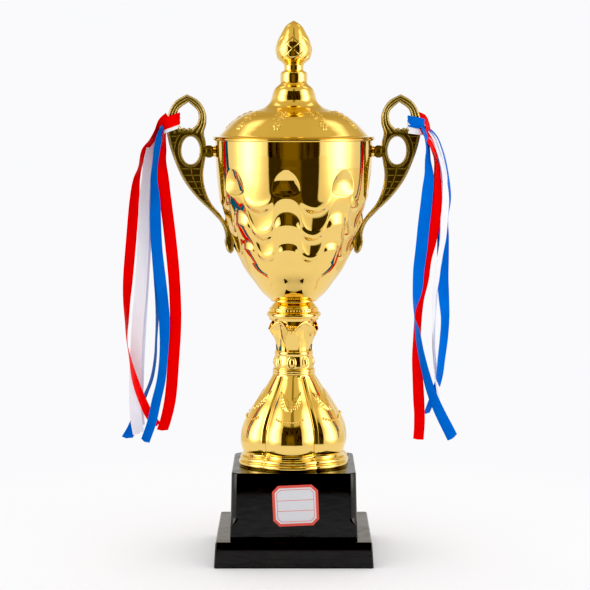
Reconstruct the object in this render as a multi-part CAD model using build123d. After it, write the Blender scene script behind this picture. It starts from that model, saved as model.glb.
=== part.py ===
"""Cup trophy: a lidded metal cup on a lobed stem and a two-step square plinth.

Frame: origin at the centre of the plinth's underside, +Z up, front face towards -Y,
handles and ribbons along +X and -X.  All sizes are in millimetres.
"""
from build123d import *
import math
import os

# ---- Sizes: plinth ------------------------------------------------------------------------
LOWER_WIDTH_BOTTOM = 131.8
LOWER_WIDTH_TOP = 129.2
LOWER_HEIGHT = 21.5
UPPER_WIDTH_BOTTOM = 105.8
UPPER_WIDTH_TOP = 103.2
PLINTH_HEIGHT = 76.7
PLINTH_WALL = 2.6
UPPER_WALL = 3.6
PLINTH_TOP_PLATE = 3.2
EDGE_ROUND = 1.2
CHAMFER_DEPTH = 3.2
CHAMFER_STOP_Z = 40.0
CHAMFER_SCOOP = 9.0
CHAMFER_TOOL_REACH = 30.0
PAD_THICKNESS = 1.0
PAD_CLEARANCE = 1.2
RIB_THICKNESS = 2.0
NUT_POCKET_RADIUS = 15.0
NUT_POCKET_WALL = 2.0
BALLAST_WIDTH = 92.0
BALLAST_HEIGHT = 25.0
LABEL_SIZE = (38.0, 34.0)
LABEL_THICKNESS = 0.2
LABEL_CORNER = 5.0
LABEL_CENTRE = (1.5, 50.0)
LABEL_TILT = 2.5

# ---- Sizes: stem --------------------------------------------------------------------------
LOBES = 6
LOBE_START = -95.0
BULB_VALLEY_RATIO = 0.90
FOOT_VALLEY_RATIO = 0.95
STEM_TOP = 199.5
STEM_WALL = 2.4
FOOT_RADIUS = 47.8
COLLAR_TOP = 215.2
SEAT_TOP = 216.5
SEAT_RADIUS = 19.5

# ---- Sizes: cup ---------------------------------------------------------------------------
CUP_WALL = 0.9
CUP_FLOOR_RADIUS = 20.2
RIM_HEIGHT = 351.5
RIM_RADIUS = 66.7
RIM_BEAD = 1.3
FLOOR_DISC_RADIUS = 19.6
LID_WALL = 1.2
LID_TOP = 398.5
LID_SEAT = RIM_HEIGHT + RIM_BEAD
SKIRT_RADIUS = 64.3
SKIRT_WALL = 1.2
SKIRT_DROP = 5.5
BRIM_RADIUS = 68.2
BRIM_EDGE_TOP = 353.6
CROWN_RADIUS = 11.0
FINIAL_DRUM_RADIUS = 11.3
FINIAL_WAIST_RADIUS = 8.0
ACORN_BASE = 414.6
ACORN_BASE_RADIUS = 9.2
TOTAL_HEIGHT = 450.0

# ---- Sizes: handles -----------------------------------------------------------------------
HANDLE_THICKNESS = 5.0
BOSS_HEIGHT = 341.0
BOSS_FACE = 67.3
BOSS_TAIL = 77.0
WALL_AT_BOSS = 65.8
WALL_AT_TIP = 50.72
SPACER_RADIUS = 4.6
SPACER_REACH = 60.0
OVAL_CENTRE = (86.6, 341.9)
OVAL_RADII = (7.8, 11.6)
TIP_SCREW_HEIGHT = 266.0
TIP_SCREW_SLOPE = 18.4

# ---- Sizes: fasteners ---------------------------------------------------------------------
ROD_RADIUS = 3.0
ROD_HOLE = 3.4
ROD_BOTTOM = 9.0
ROD_TOP = 229.0
STUD_RADIUS = 2.0
STUD_HOLE = 2.2
STUD_BOTTOM = 388.0
STUD_TOP = 414.0
SCREW_RADIUS = 1.5
SCREW_HOLE = 1.7
SCREW_HEAD_RADIUS = 2.9
SCREW_HEAD_HEIGHT = 1.8
SCREW_HEAD_ROUND = 0.8
SCREW_WASHER_RADIUS = 3.4
SCREW_WASHER_THICKNESS = 0.5
SCREW_SLOT = (0.8, 1.4)
UPPER_SCREW_LENGTH = 12.0
LOWER_SCREW_LENGTH = 6.4
UPPER_PILOT = (12.0, 5.0)
LOWER_PILOT = (10.0, 0.6)
DRILL_LENGTH = 12.0
TIGHTEST_WALL_RADIUS = 49.0
WASHER_RADIUS = 12.0
WASHER_THICKNESS = 1.6
NUT_ACROSS = 10.0
NUT_THICKNESS = 5.2
LID_WASHER_RADIUS = 6.0
LID_WASHER_THICKNESS = 1.0
LID_NUT_ACROSS = 7.0
LID_NUT_THICKNESS = 3.2

# ---- Sizes: ribbons -----------------------------------------------------------------------
RIBBON_WIDTH = 10.0
RIBBON_THICKNESS = 0.5
TAIL_START_WIDTH = 2.8
TAIL_SPREAD_LENGTH = 60.0
HITCH_HEIGHTS = {"blue": 365.5, "white": 368.8, "red": 372.1}
HITCH_TALL = 3.0
HITCH_X = (96.2, 108.3)
HITCH_HALF_DEPTH = 3.5
HITCH_WALL = 0.6
KNOT_DEPTH = 10.0
KNOT_WIDTH = 2.0


def turned(*edges):
    """Solid of revolution about Z from edges that close a region of the plane Y = 0."""
    return revolve(make_face(Wire(edges)), Axis.Z)


def side_points(pairs):
    """(radius, height) pairs as points of the plane Y = 0."""
    return [Vector(radius, 0, height) for radius, height in pairs]


def turned_polygon(pairs):
    """Solid of revolution from a closed run of straight sides."""
    points = side_points(pairs)
    return turned(*Polyline(*points, close=True).edges())


def inset(pairs, thickness):
    """Points of a profile moved by a wall's thickness to its left-hand side."""
    moved = []
    for index, (radius, height) in enumerate(pairs):
        before = pairs[max(index - 1, 0)]
        after = pairs[min(index + 1, len(pairs) - 1)]
        run = after[0] - before[0]
        rise = after[1] - before[1]
        length = math.hypot(run, rise)
        moved.append((radius - thickness * rise / length, height + thickness * run / length))
    return moved


def tube(outer, inner, bottom, top):
    """Upright washer-shaped solid."""
    ring = Circle(outer) - Circle(inner)
    return Pos(0, 0, bottom) * extrude(ring, top - bottom)


def square_prism(width_bottom, width_top, bottom, top):
    """Square block whose sides lean in slightly towards the top."""
    low = Pos(0, 0, bottom) * Rectangle(width_bottom, width_bottom)
    high = Pos(0, 0, top) * Rectangle(width_top, width_top)
    return loft([low, high], ruled=True)


# ---- Plinth -------------------------------------------------------------------------------
def plinth_lower():
    """Bottom step: a hollow moulding with a top plate, cross ribs and a round nut pocket."""
    outer = square_prism(LOWER_WIDTH_BOTTOM, LOWER_WIDTH_TOP, 0, LOWER_HEIGHT)
    upright = outer.edges().filter_by(lambda edge: abs(edge.center().Z - LOWER_HEIGHT / 2) < 1)
    top_edges = outer.faces().sort_by(Axis.Z)[-1].edges()
    outer = fillet(upright + top_edges, EDGE_ROUND)
    ceiling = LOWER_HEIGHT - PLINTH_TOP_PLATE
    inside_bottom = LOWER_WIDTH_BOTTOM - 2 * PLINTH_WALL
    inside_top = LOWER_WIDTH_TOP - 2 * PLINTH_WALL
    body = outer - square_prism(inside_bottom, inside_top, 0, ceiling)
    rib_height = ceiling - PAD_THICKNESS
    ribs = Box(inside_top, RIB_THICKNESS, rib_height) + Box(RIB_THICKNESS, inside_top, rib_height)
    body += Pos(0, 0, PAD_THICKNESS + rib_height / 2) * ribs
    body += tube(NUT_POCKET_RADIUS + NUT_POCKET_WALL, NUT_POCKET_RADIUS, PAD_THICKNESS, ceiling)
    body -= Pos(0, 0, ceiling / 2) * Cylinder(NUT_POCKET_RADIUS, ceiling)
    return body - Pos(0, 0, LOWER_HEIGHT) * Cylinder(ROD_HOLE, 2 * LOWER_HEIGHT)


def base_pad():
    """Thin foam sheet that closes the underside, flush with the plinth's rim."""
    width = LOWER_WIDTH_BOTTOM - 2 * PLINTH_WALL - PAD_CLEARANCE
    return Pos(0, 0, PAD_THICKNESS / 2) * Box(width, width, PAD_THICKNESS)


def corner_cutter():
    """Tool that takes a flat off an upright corner and runs out in a scoop above its foot."""
    reach = CHAMFER_TOOL_REACH
    corner = UPPER_WIDTH_TOP / math.sqrt(2)
    face = corner - CHAMFER_DEPTH
    block = Box(reach, 2 * reach, 2 * reach, align=(Align.MIN, Align.CENTER, Align.MIN))
    scoop = Rot(90, 0, 0) * Cylinder(CHAMFER_SCOOP, 2 * reach)
    return Pos(face, 0, CHAMFER_STOP_Z) * block + Pos(face + CHAMFER_SCOOP, 0, CHAMFER_STOP_Z) * scoop


def plinth_upper():
    """Top step: a hollow moulding with stopped flats on its four upright corners."""
    outer = square_prism(UPPER_WIDTH_BOTTOM, UPPER_WIDTH_TOP, LOWER_HEIGHT, PLINTH_HEIGHT)
    for quarter in range(4):
        outer -= Rot(0, 0, 45 + 90 * quarter) * corner_cutter()
    ceiling = PLINTH_HEIGHT - PLINTH_TOP_PLATE
    inside_bottom = UPPER_WIDTH_BOTTOM - 2 * UPPER_WALL
    inside_top = UPPER_WIDTH_TOP - 2 * UPPER_WALL
    body = outer - square_prism(inside_bottom, inside_top, LOWER_HEIGHT, ceiling)
    return body - Pos(0, 0, PLINTH_HEIGHT) * Cylinder(ROD_HOLE, 4 * PLINTH_TOP_PLATE)


def ballast_block():
    """Dense block under the upper step's ceiling, pierced for the tie rod."""
    ceiling = PLINTH_HEIGHT - PLINTH_TOP_PLATE
    block = Box(BALLAST_WIDTH, BALLAST_WIDTH, BALLAST_HEIGHT, align=(Align.CENTER, Align.CENTER, Align.MAX))
    return Pos(0, 0, ceiling) * (block - Cylinder(ROD_HOLE, 3 * BALLAST_HEIGHT))


def price_label():
    """Blank eight-sided sticker on the sloping front of the upper step."""
    slope = (UPPER_WIDTH_BOTTOM - UPPER_WIDTH_TOP) / 2 / (PLINTH_HEIGHT - LOWER_HEIGHT)
    half_width = UPPER_WIDTH_BOTTOM / 2 - slope * (LABEL_CENTRE[1] - LOWER_HEIGHT)
    outline = chamfer(Rectangle(*LABEL_SIZE).vertices(), LABEL_CORNER)
    lean = math.degrees(math.atan(slope))
    sheet = extrude(outline, LABEL_THICKNESS)
    front = Location((LABEL_CENTRE[0], -half_width, LABEL_CENTRE[1]), (90 - lean, 0, 0))
    return front * (Rot(0, 0, LABEL_TILT) * sheet)


# ---- Stem ---------------------------------------------------------------------------------
def lobed_face(radius, height, valley_ratio):
    """Flower-shaped section: one outward arc per lobe, meeting in sharp valleys."""
    step = 2 * math.pi / LOBES
    start = math.radians(LOBE_START) - step / 2
    valley = radius * valley_ratio
    arcs = []
    for lobe in range(LOBES):
        angles = [start + step * (lobe + part) for part in (0, 0.5, 1)]
        radii = [valley, radius, valley]
        points = [Vector(r * math.cos(a), r * math.sin(a), height) for r, a in zip(radii, angles)]
        arcs.append(ThreePointArc(*points))
    return make_face(Wire(arcs))


def lobed_solid(sections, valley_ratio, ruled=False):
    """Loft through flower-shaped sections given as (height, radius)."""
    return loft([lobed_face(radius, height, valley_ratio) for height, radius in sections], ruled=ruled)


def stem_foot():
    """Two stacked rolls and a waist under the bulb, following its lobes."""
    lower = [(PLINTH_HEIGHT, 46.8), (78.0, FOOT_RADIUS), (80.4, FOOT_RADIUS), (81.6, 46.4)]
    upper = [(81.6, 46.0), (83.0, 46.6), (85.2, 45.8), (86.6, 44.2), (88.0, 43.6)]
    lower_roll = lobed_solid(lower, FOOT_VALLEY_RATIO, ruled=True)
    upper_roll = lobed_solid(upper, FOOT_VALLEY_RATIO, ruled=True)
    return lower_roll + upper_roll


def stem_bulb():
    """Pear-shaped lower half of the stem."""
    sections = [(88.0, 43.6), (92.0, 45.9), (98.0, 46.7), (105.0, 46.1), (112.0, 44.4), (119.0, 40.9),
                (126.7, 36.2), (134.5, 30.5), (142.2, 25.2), (149.9, 20.3), (155.0, 17.6)]
    return lobed_solid(sections, BULB_VALLEY_RATIO)


def stem_neck():
    """Beaded neck and the flare that carries the petals."""
    profile = [(0, 154.0), (17.8, 154.0), (17.8, 158.5), (16.4, 159.4), (17.0, 163.0), (15.5, 169.6),
               (16.1, 170.6), (16.1, 172.4), (15.3, 173.6), (15.5, 180.7), (16.5, 183.3), (17.8, 185.8),
               (19.1, 188.4), (20.4, 190.9), (22.0, 193.2), (22.0, 195.0), (20.3, 197.8), (19.9, STEM_TOP),
               (0, STEM_TOP)]
    return turned_polygon(profile)


def stem():
    """Hollow stem in one piece, from the rolled foot to the flare."""
    body = stem_foot() + stem_bulb() + stem_neck()
    hollow = [(0, PLINTH_HEIGHT), (37.0, PLINTH_HEIGHT), (37.0, 98.0), (33.0, 112.0), (26.0, 128.0),
              (17.0, 144.0), (13.0, 155.0), (12.0, 180.0), (14.0, STEM_TOP - 3 * STEM_WALL),
              (14.0, STEM_TOP - STEM_WALL), (0, STEM_TOP - STEM_WALL)]
    body -= turned_polygon(hollow)
    return body - Pos(0, 0, STEM_TOP) * Cylinder(ROD_HOLE, 4 * STEM_WALL)


def neck_collar():
    """Turned collar between stem and cup: a bold ring, a bead band and a narrow throat."""
    profile = [(ROD_HOLE, STEM_TOP), (20.8, STEM_TOP), (21.4, 201.2), (22.5, 202.0), (22.9, 203.2),
               (22.9, 204.2), (22.4, 205.4), (21.2, 206.3), (20.3, 206.9), (20.3, 208.4), (18.9, 210.4),
               (16.9, 213.0), (15.7, 214.6), (15.7, COLLAR_TOP), (ROD_HOLE, COLLAR_TOP)]
    return turned_polygon(profile)


def cup_seat():
    """Thin dished washer that spreads the cup's load over the collar."""
    profile = [(ROD_HOLE, COLLAR_TOP), (18.9, COLLAR_TOP), (SEAT_RADIUS, 215.7), (SEAT_RADIUS, SEAT_TOP),
               (ROD_HOLE, SEAT_TOP)]
    return turned_polygon(profile)


# ---- Cup ----------------------------------------------------------------------------------
def cup_wall():
    """Outer profile of the cup's wall, from the floor's edge to the rim."""
    return [(CUP_FLOOR_RADIUS, SEAT_TOP + 0.1), (26.6, 222.6), (34.0, 232.4), (41.0, 242.0), (46.6, 254.0),
            (51.4, 268.0), (57.0, 284.5), (61.2, 298.0), (63.6, 310.0), (65.0, 324.0), (65.8, 338.0),
            (66.0, RIM_HEIGHT)]


def cup_envelope():
    """Solid of the cup's outer shape, used to seat the parts that bear on its wall."""
    wall = side_points(cup_wall())
    base = Vector(0, 0, wall[0].Z)
    peak = Vector(0, 0, wall[-1].Z)
    return turned(Line(base, wall[0]), Spline(*wall), Line(wall[-1], peak), Line(peak, base))


def bowl():
    """Thin stamped cup with a flat pierced floor and a rolled rim."""
    outer = cup_wall()
    inner = inset(outer, CUP_WALL)
    wall_out = side_points(outer)
    wall_in = side_points(inner)
    floor_z = inner[0][1]
    hole_low = Vector(ROD_HOLE, 0, outer[0][1])
    hole_high = Vector(ROD_HOLE, 0, floor_z)
    shell = turned(Line(hole_low, wall_out[0]), Spline(*wall_out), Line(wall_out[-1], wall_in[-1]),
                   Spline(*reversed(wall_in)), Line(wall_in[0], hole_high), Line(hole_high, hole_low))
    shell += tube(FLOOR_DISC_RADIUS, ROD_HOLE, SEAT_TOP, outer[0][1] + 0.1)
    shell += Pos(0, 0, RIM_HEIGHT) * Torus(RIM_RADIUS, RIM_BEAD)
    for side in (0, 180):
        shell -= Rot(0, 0, side) * along_boss(Cylinder(SCREW_HOLE, DRILL_LENGTH), 0)
        shell -= Rot(0, 0, side) * along_tip(Cylinder(SCREW_HOLE, DRILL_LENGTH), 0)
    return shell


def lid_wall():
    """Outer profile of the lid, from the foot of its dome to the crown of its bell."""
    return [(61.8, 354.9), (57.1, 360.0), (52.1, 365.0), (45.6, 370.0), (38.5, 373.4), (30.5, 375.8),
            (24.0, 378.4), (19.6, 383.0), (17.8, 389.0), (16.0, 393.4), (11.6, 397.4)]


def lid_ceiling():
    """Height of the flat underside of the bell's crown."""
    return inset(lid_wall(), LID_WALL)[-1][1]


def lid_dome():
    """Shallow domed lid that sweeps up into a bell, with a flat brim and a locating skirt."""
    outer = lid_wall()
    inner = inset(outer, LID_WALL)
    dome_out = side_points(outer)
    dome_in = side_points(inner)
    brim_edge = Vector(BRIM_RADIUS, 0, BRIM_EDGE_TOP)
    brim_low = Vector(BRIM_RADIUS, 0, LID_SEAT)
    inside_low = Vector(inner[0][0], 0, LID_SEAT)
    cap_out = Vector(STUD_HOLE, 0, LID_TOP)
    cap_shoulder = Vector(CROWN_RADIUS, 0, LID_TOP)
    cap_in = Vector(STUD_HOLE, 0, inner[-1][1])
    shell = turned(Line(brim_low, brim_edge), Line(brim_edge, dome_out[0]), Spline(*dome_out),
                   Line(dome_out[-1], cap_shoulder), Line(cap_shoulder, cap_out), Line(cap_out, cap_in),
                   Line(cap_in, dome_in[-1]), Spline(*reversed(dome_in)),
                   Line(dome_in[0], inside_low), Line(inside_low, brim_low))
    skirt_inner = SKIRT_RADIUS - SKIRT_WALL
    return shell + tube(SKIRT_RADIUS, skirt_inner, LID_SEAT - SKIRT_DROP, LID_SEAT + 0.6)


def finial():
    """Knob of the lid: drum collar, waist and a pointed acorn, with a blind hole for its stud."""
    base = LID_TOP
    drum = [(0, base), (FINIAL_DRUM_RADIUS, base), (FINIAL_DRUM_RADIUS, 406.6), (10.6, 407.4),
            (FINIAL_WAIST_RADIUS, 408.4), (FINIAL_WAIST_RADIUS, 413.4), (ACORN_BASE_RADIUS, ACORN_BASE),
            (0, ACORN_BASE)]
    acorn = side_points([(ACORN_BASE_RADIUS, ACORN_BASE), (13.4, 418.4), (15.1, 424.8), (14.2, 430.9),
                         (10.9, 438.4), (6.3, 445.9), (0, TOTAL_HEIGHT)])
    foot = Vector(0, 0, acorn[0].Z)
    tip = acorn[-1]
    body = turned_polygon(drum) + turned(Line(foot, acorn[0]), Spline(*acorn), Line(tip, foot))
    depth = STUD_TOP + 1 - base
    return body - Pos(0, 0, base + depth / 2) * Cylinder(STUD_RADIUS, depth)


# ---- Handles ------------------------------------------------------------------------------
def along_boss(shape, distance):
    """Place a shape made about Z on the upper screw's axis, at a distance from the cup's wall."""
    return Pos(WALL_AT_BOSS + distance, 0, BOSS_HEIGHT) * Rot(0, 90, 0) * shape


def along_tip(shape, distance):
    """Place a shape made about Z on the lower screw's axis, at a distance from the cup's wall."""
    axis = Pos(WALL_AT_TIP, 0, TIP_SCREW_HEIGHT) * Rot(0, 90 + TIP_SCREW_SLOPE, 0)
    return axis * Pos(0, 0, distance) * shape


def handle_outline():
    """Side view of a handle: pointed ring above, tapering scroll below."""
    outer = side_points([(89.5, 388.8), (98.6, 383.4), (104.4, 374.6), (106.8, 362.0), (105.2, 350.0),
                         (100.4, 334.4), (92.8, 317.4), (82.0, 302.8), (69.4, 290.4), (61.0, 280.8),
                         (58.0, 272.0), (58.4, 264.6)])
    tip = side_points([(58.4, 264.6), (56.2, 257.8), (53.0, 255.2), (50.8, 257.4)])
    inner = side_points([(50.8, 257.4), (50.6, 265.0), (53.6, 275.0), (61.0, 287.0), (69.2, 297.0),
                         (74.4, 309.0), (76.2, 321.8), (74.8, 332.4), (73.4, 341.0), (74.0, 349.0),
                         (75.4, 356.6), (73.4, 364.6), (74.0, 373.8), (79.6, 383.2), (89.5, 388.8)])
    return make_face(Wire([Spline(*outer), Spline(*tip), Spline(*inner)]))


def ring_hole():
    """Pointed opening in the upper ring of a handle."""
    arch = side_points([(85.6, 359.8), (80.8, 364.6), (80.2, 374.0), (88.2, 382.4)])
    back = side_points([(88.2, 382.4), (96.6, 375.8), (98.0, 366.6), (94.0, 359.9)])
    sill = Line(back[-1], arch[0])
    return make_face(Wire([Spline(*arch), Spline(*back), sill]))


def oval_hole():
    """Upright oval opening in the body of a handle."""
    return Plane.XZ * (Pos(*OVAL_CENTRE) * Ellipse(*OVAL_RADII))


def handle_boss():
    """Knob on the handle's inner edge that meets the spacer."""
    profile = [(0, BOSS_FACE), (3.9, BOSS_FACE), (4.2, 68.2), (5.2, 69.6), (5.2, 72.6), (4.3, 73.8),
               (4.3, BOSS_TAIL), (0, BOSS_TAIL)]
    knob = turned_polygon(profile)
    return Pos(0, 0, BOSS_HEIGHT) * Rot(0, 90, 0) * knob


def handle_right():
    """Flat scrolled handle with two openings, seated on the cup's wall at its lower tip."""
    both_ways = HANDLE_THICKNESS / 2
    body = extrude(handle_outline(), both_ways, both=True)
    body -= extrude(ring_hole(), HANDLE_THICKNESS, both=True)
    body -= extrude(oval_hole(), HANDLE_THICKNESS, both=True)
    body += handle_boss()
    body -= cup_envelope()
    upper_length, upper_centre = UPPER_PILOT
    lower_length, lower_centre = LOWER_PILOT
    body -= along_boss(Cylinder(SCREW_RADIUS, upper_length), upper_centre)
    return body - along_tip(Cylinder(SCREW_RADIUS, lower_length), lower_centre)


def mirrored(shape):
    """The same shape on the other side of the trophy."""
    return mirror(shape, Plane.YZ)


def handle_spacer():
    """Gold distance piece between a handle's boss and the curved wall."""
    length = BOSS_FACE - SPACER_REACH
    drum = Pos(SPACER_REACH + length / 2, 0, BOSS_HEIGHT) * Rot(0, 90, 0) * Cylinder(SPACER_RADIUS, length)
    return drum - cup_envelope() - along_boss(Cylinder(SCREW_HOLE, DRILL_LENGTH), 0)


def screw(length):
    """Pan-head screw along +Z with its head's underside at the origin."""
    head = Pos(0, 0, -SCREW_HEAD_HEIGHT / 2) * Cylinder(SCREW_HEAD_RADIUS, SCREW_HEAD_HEIGHT)
    slot_width, slot_depth = SCREW_SLOT
    head = fillet(head.edges().sort_by(Axis.Z)[0], SCREW_HEAD_ROUND)
    slot = Pos(0, 0, -SCREW_HEAD_HEIGHT) * Box(slot_width, 2 * SCREW_HEAD_RADIUS, slot_depth)
    shank = Pos(0, 0, length / 2) * Cylinder(SCREW_RADIUS, length)
    return head - slot + shank


def washer():
    """Small flat washer, its outer face at the origin."""
    return tube(SCREW_WASHER_RADIUS, SCREW_HOLE, -SCREW_WASHER_THICKNESS, 0)


def screw_offset():
    """How far inside the cup's outer surface a flat washer can sit without touching the curve."""
    sagitta = SCREW_WASHER_RADIUS ** 2 / (2 * TIGHTEST_WALL_RADIUS)
    return -(CUP_WALL + sagitta + 0.1)


def handle_screws():
    """Four screws driven from inside the cup, two for each handle."""
    under_head = screw_offset() - SCREW_WASHER_THICKNESS
    upper = along_boss(screw(UPPER_SCREW_LENGTH), under_head)
    lower = along_tip(screw(LOWER_SCREW_LENGTH), under_head)
    return [upper, lower, mirrored(upper), mirrored(lower)]


def handle_screw_washers():
    """One washer under each handle screw's head."""
    upper = along_boss(washer(), screw_offset())
    lower = along_tip(washer(), screw_offset())
    return [upper, lower, mirrored(upper), mirrored(lower)]


# ---- Fasteners on the centre line ---------------------------------------------------------
def hexagon_nut(across_flats, thickness, bore, bottom):
    """Plain hexagon nut lying flat."""
    outline = RegularPolygon(across_flats / 2, 6, major_radius=False) - Circle(bore)
    return Pos(0, 0, bottom) * extrude(outline, thickness)


def cup_floor():
    """Height of the cup's inner floor."""
    return inset(cup_wall(), CUP_WALL)[0][1]


def tie_rod():
    """Threaded rod, drawn plain, that clamps plinth, stem, collar and cup together."""
    length = ROD_TOP - ROD_BOTTOM
    rod = Cylinder(ROD_RADIUS, length)
    rod = chamfer(rod.edges().filter_by(GeomType.CIRCLE), 0.6)
    return Pos(0, 0, ROD_BOTTOM + length / 2) * rod


def plinth_ceiling():
    """Height of the lower step's ceiling, which the base washer bears on."""
    return LOWER_HEIGHT - PLINTH_TOP_PLATE


def base_washer():
    """Large washer between the tie rod's lower nut and the plinth."""
    return tube(WASHER_RADIUS, ROD_HOLE, plinth_ceiling() - WASHER_THICKNESS, plinth_ceiling())


def base_nut():
    """Nut under the plinth, hidden in its round pocket."""
    bottom = plinth_ceiling() - WASHER_THICKNESS - NUT_THICKNESS
    return hexagon_nut(NUT_ACROSS, NUT_THICKNESS, ROD_RADIUS, bottom)


def cup_washer():
    """Large washer on the cup's inner floor."""
    return tube(WASHER_RADIUS, ROD_HOLE, cup_floor(), cup_floor() + WASHER_THICKNESS)


def cup_nut():
    """Nut inside the cup."""
    return hexagon_nut(NUT_ACROSS, NUT_THICKNESS, ROD_RADIUS, cup_floor() + WASHER_THICKNESS)


def lid_washer():
    """Washer under the crown of the lid."""
    return tube(LID_WASHER_RADIUS, STUD_HOLE, lid_ceiling() - LID_WASHER_THICKNESS, lid_ceiling())


def lid_nut():
    """Nut that holds the finial's stud inside the lid."""
    bottom = lid_ceiling() - LID_WASHER_THICKNESS - LID_NUT_THICKNESS
    return hexagon_nut(LID_NUT_ACROSS, LID_NUT_THICKNESS, STUD_RADIUS, bottom)


def finial_stud():
    """Plain stud that ties the finial to the lid."""
    length = STUD_TOP - STUD_BOTTOM
    return Pos(0, 0, STUD_BOTTOM + length / 2) * Cylinder(STUD_RADIUS, length)


# ---- Ribbons ------------------------------------------------------------------------------
# Each tail hangs from a hitch on the outer arm of a handle's ring.  A tail is given by its depth
# (Y), and by the points (distance from the centre line, height) that its middle passes through.
LEFT_TAILS = {
    "red": [(1.6, [(114, 368), (127.4, 334), (135.6, 296), (139.0, 254), (140.2, 212), (136.4, 169),
                   (124, 127), (116.8, 108)]),
            (-4.8, [(113, 366), (115.4, 326), (107.4, 290), (101.2, 246), (99.0, 205), (100.4, 169),
                    (107, 128), (112, 104)])],
    "white": [(-1.6, [(114, 362), (122.4, 326), (126.0, 290), (130.0, 242), (133.6, 196), (135.4, 156),
                      (132.8, 104)]),
              (7.6, [(114, 362), (120.6, 326), (124.0, 290), (128.4, 242), (132.0, 196), (134.4, 156),
                     (131.8, 112)])],
    "blue": [(-7.8, [(113, 358), (116.4, 326), (116.0, 288), (112.6, 242), (109.2, 196), (115.4, 145),
                     (127.0, 97)]),
             (4.6, [(113, 358), (118.4, 322), (118.0, 286), (115.0, 242), (114.0, 200), (121.4, 152),
                    (141.6, 98)])],
}
RIGHT_TAILS = {
    "red": [(-4.8, [(114, 366), (121.4, 330), (121.4, 300), (114.4, 262), (106.6, 212), (103.4, 165),
                    (106.0, 99)]),
            (7.8, [(114, 366), (120.0, 330), (120.2, 300), (113.4, 262), (106.0, 214), (103.0, 170),
                   (104.4, 106)])],
    "white": [(1.6, [(114, 363), (126.4, 326), (128.4, 298), (124.0, 258), (119.8, 208), (119.2, 165),
                     (122.4, 134), (136.6, 96)]),
              (4.8, [(114, 363), (125.0, 326), (127.0, 298), (122.8, 258), (119.0, 208), (118.4, 165),
                     (121.4, 136), (134.0, 102)])],
    "blue": [(-7.8, [(113, 358), (113.0, 330), (107.8, 296), (103.4, 250), (102.4, 214), (108.0, 175),
                     (119.0, 132), (135.4, 98)]),
             (-1.6, [(114, 359), (127.6, 334), (130.8, 296), (129.8, 256), (130.4, 212), (126.8, 166),
                     (118.4, 131), (112.4, 114)])],
}


def tail_outline(points):
    """Flat outline of a ribbon tail that widens from its hitch to full width."""
    middle = [Vector(x, 0, z) for x, z in points]
    travelled = 0.0
    left = []
    right = []
    for index, point in enumerate(middle):
        before = middle[max(index - 1, 0)]
        after = middle[min(index + 1, len(middle) - 1)]
        travelled += (point - before).length
        spread = min(1.0, travelled / TAIL_SPREAD_LENGTH)
        half = (TAIL_START_WIDTH + (RIBBON_WIDTH - TAIL_START_WIDTH) * spread) / 2
        along = (after - before).normalized()
        across = Vector(-along.Z, 0, along.X) * half
        left.append(point - across)
        right.append(point + across)
    edges = [Spline(*left), Line(left[-1], right[-1]), Spline(*reversed(right)), Line(right[0], left[0])]
    return make_face(Wire(edges))


def ribbon(colour, tails):
    """One folded ribbon: its hitch round the handle's ring, the knot and two hanging tails."""
    height = HITCH_HEIGHTS[colour]
    near, far = HITCH_X
    band = Box(far - near, 2 * HITCH_HALF_DEPTH, HITCH_TALL)
    band -= Box(far - near - 2 * HITCH_WALL, 2 * (HITCH_HALF_DEPTH - HITCH_WALL), HITCH_TALL)
    body = Pos((near + far) / 2, 0, height) * band
    body += Pos(far + KNOT_WIDTH / 2, 0, height) * Box(KNOT_WIDTH, 2 * KNOT_DEPTH, HITCH_TALL)
    for depth, points in tails:
        start = [(far + KNOT_WIDTH / 2, height), (far + 2 * KNOT_WIDTH + 0.6, height - 0.4)]
        outline = tail_outline(start + points)
        body += Pos(0, depth, 0) * extrude(outline, RIBBON_THICKNESS / 2, both=True)
    return body


# ---- Writing the parts --------------------------------------------------------------------
def all_parts():
    """Every named piece of the trophy."""
    right_handle = handle_right()
    spacer = handle_spacer()
    parts = {
        "plinth_lower": plinth_lower(),
        "plinth_upper": plinth_upper(),
        "base_pad": base_pad(),
        "ballast_block": ballast_block(),
        "price_label": price_label(),
        "stem": stem(),
        "neck_collar": neck_collar(),
        "cup_seat": cup_seat(),
        "bowl": bowl(),
        "handle_right": right_handle,
        "handle_left": mirrored(right_handle),
        "handle_spacers": [spacer, mirrored(spacer)],
        "handle_screws": handle_screws(),
        "handle_screw_washers": handle_screw_washers(),
        "tie_rod": tie_rod(),
        "base_washer": base_washer(),
        "base_nut": base_nut(),
        "cup_washer": cup_washer(),
        "cup_nut": cup_nut(),
        "lid_dome": lid_dome(),
        "finial": finial(),
        "finial_stud": finial_stud(),
        "lid_washer": lid_washer(),
        "lid_nut": lid_nut(),
    }
    for colour in HITCH_HEIGHTS:
        parts["ribbon_right_" + colour] = ribbon(colour, RIGHT_TAILS[colour])
        parts["ribbon_left_" + colour] = mirrored(ribbon(colour, LEFT_TAILS[colour]))
    return parts


def solids_of(shape):
    """The solids in one shape or in a list of shapes."""
    shapes = shape if isinstance(shape, list) else [shape]
    return [solid for each in shapes for solid in each.solids()]


os.makedirs("parts", exist_ok=True)
for name, shape in all_parts().items():
    solids = solids_of(shape)
    piece = solids[0] if len(solids) == 1 else Compound(children=solids)
    export_step(piece, "parts/" + name + ".step")
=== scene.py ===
"""Looks of the cup trophy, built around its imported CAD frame.  Lengths inside the builders are in
millimetres, measured from a CAD node's own box; angles are in degrees, with the front at -90."""
import math

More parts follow.
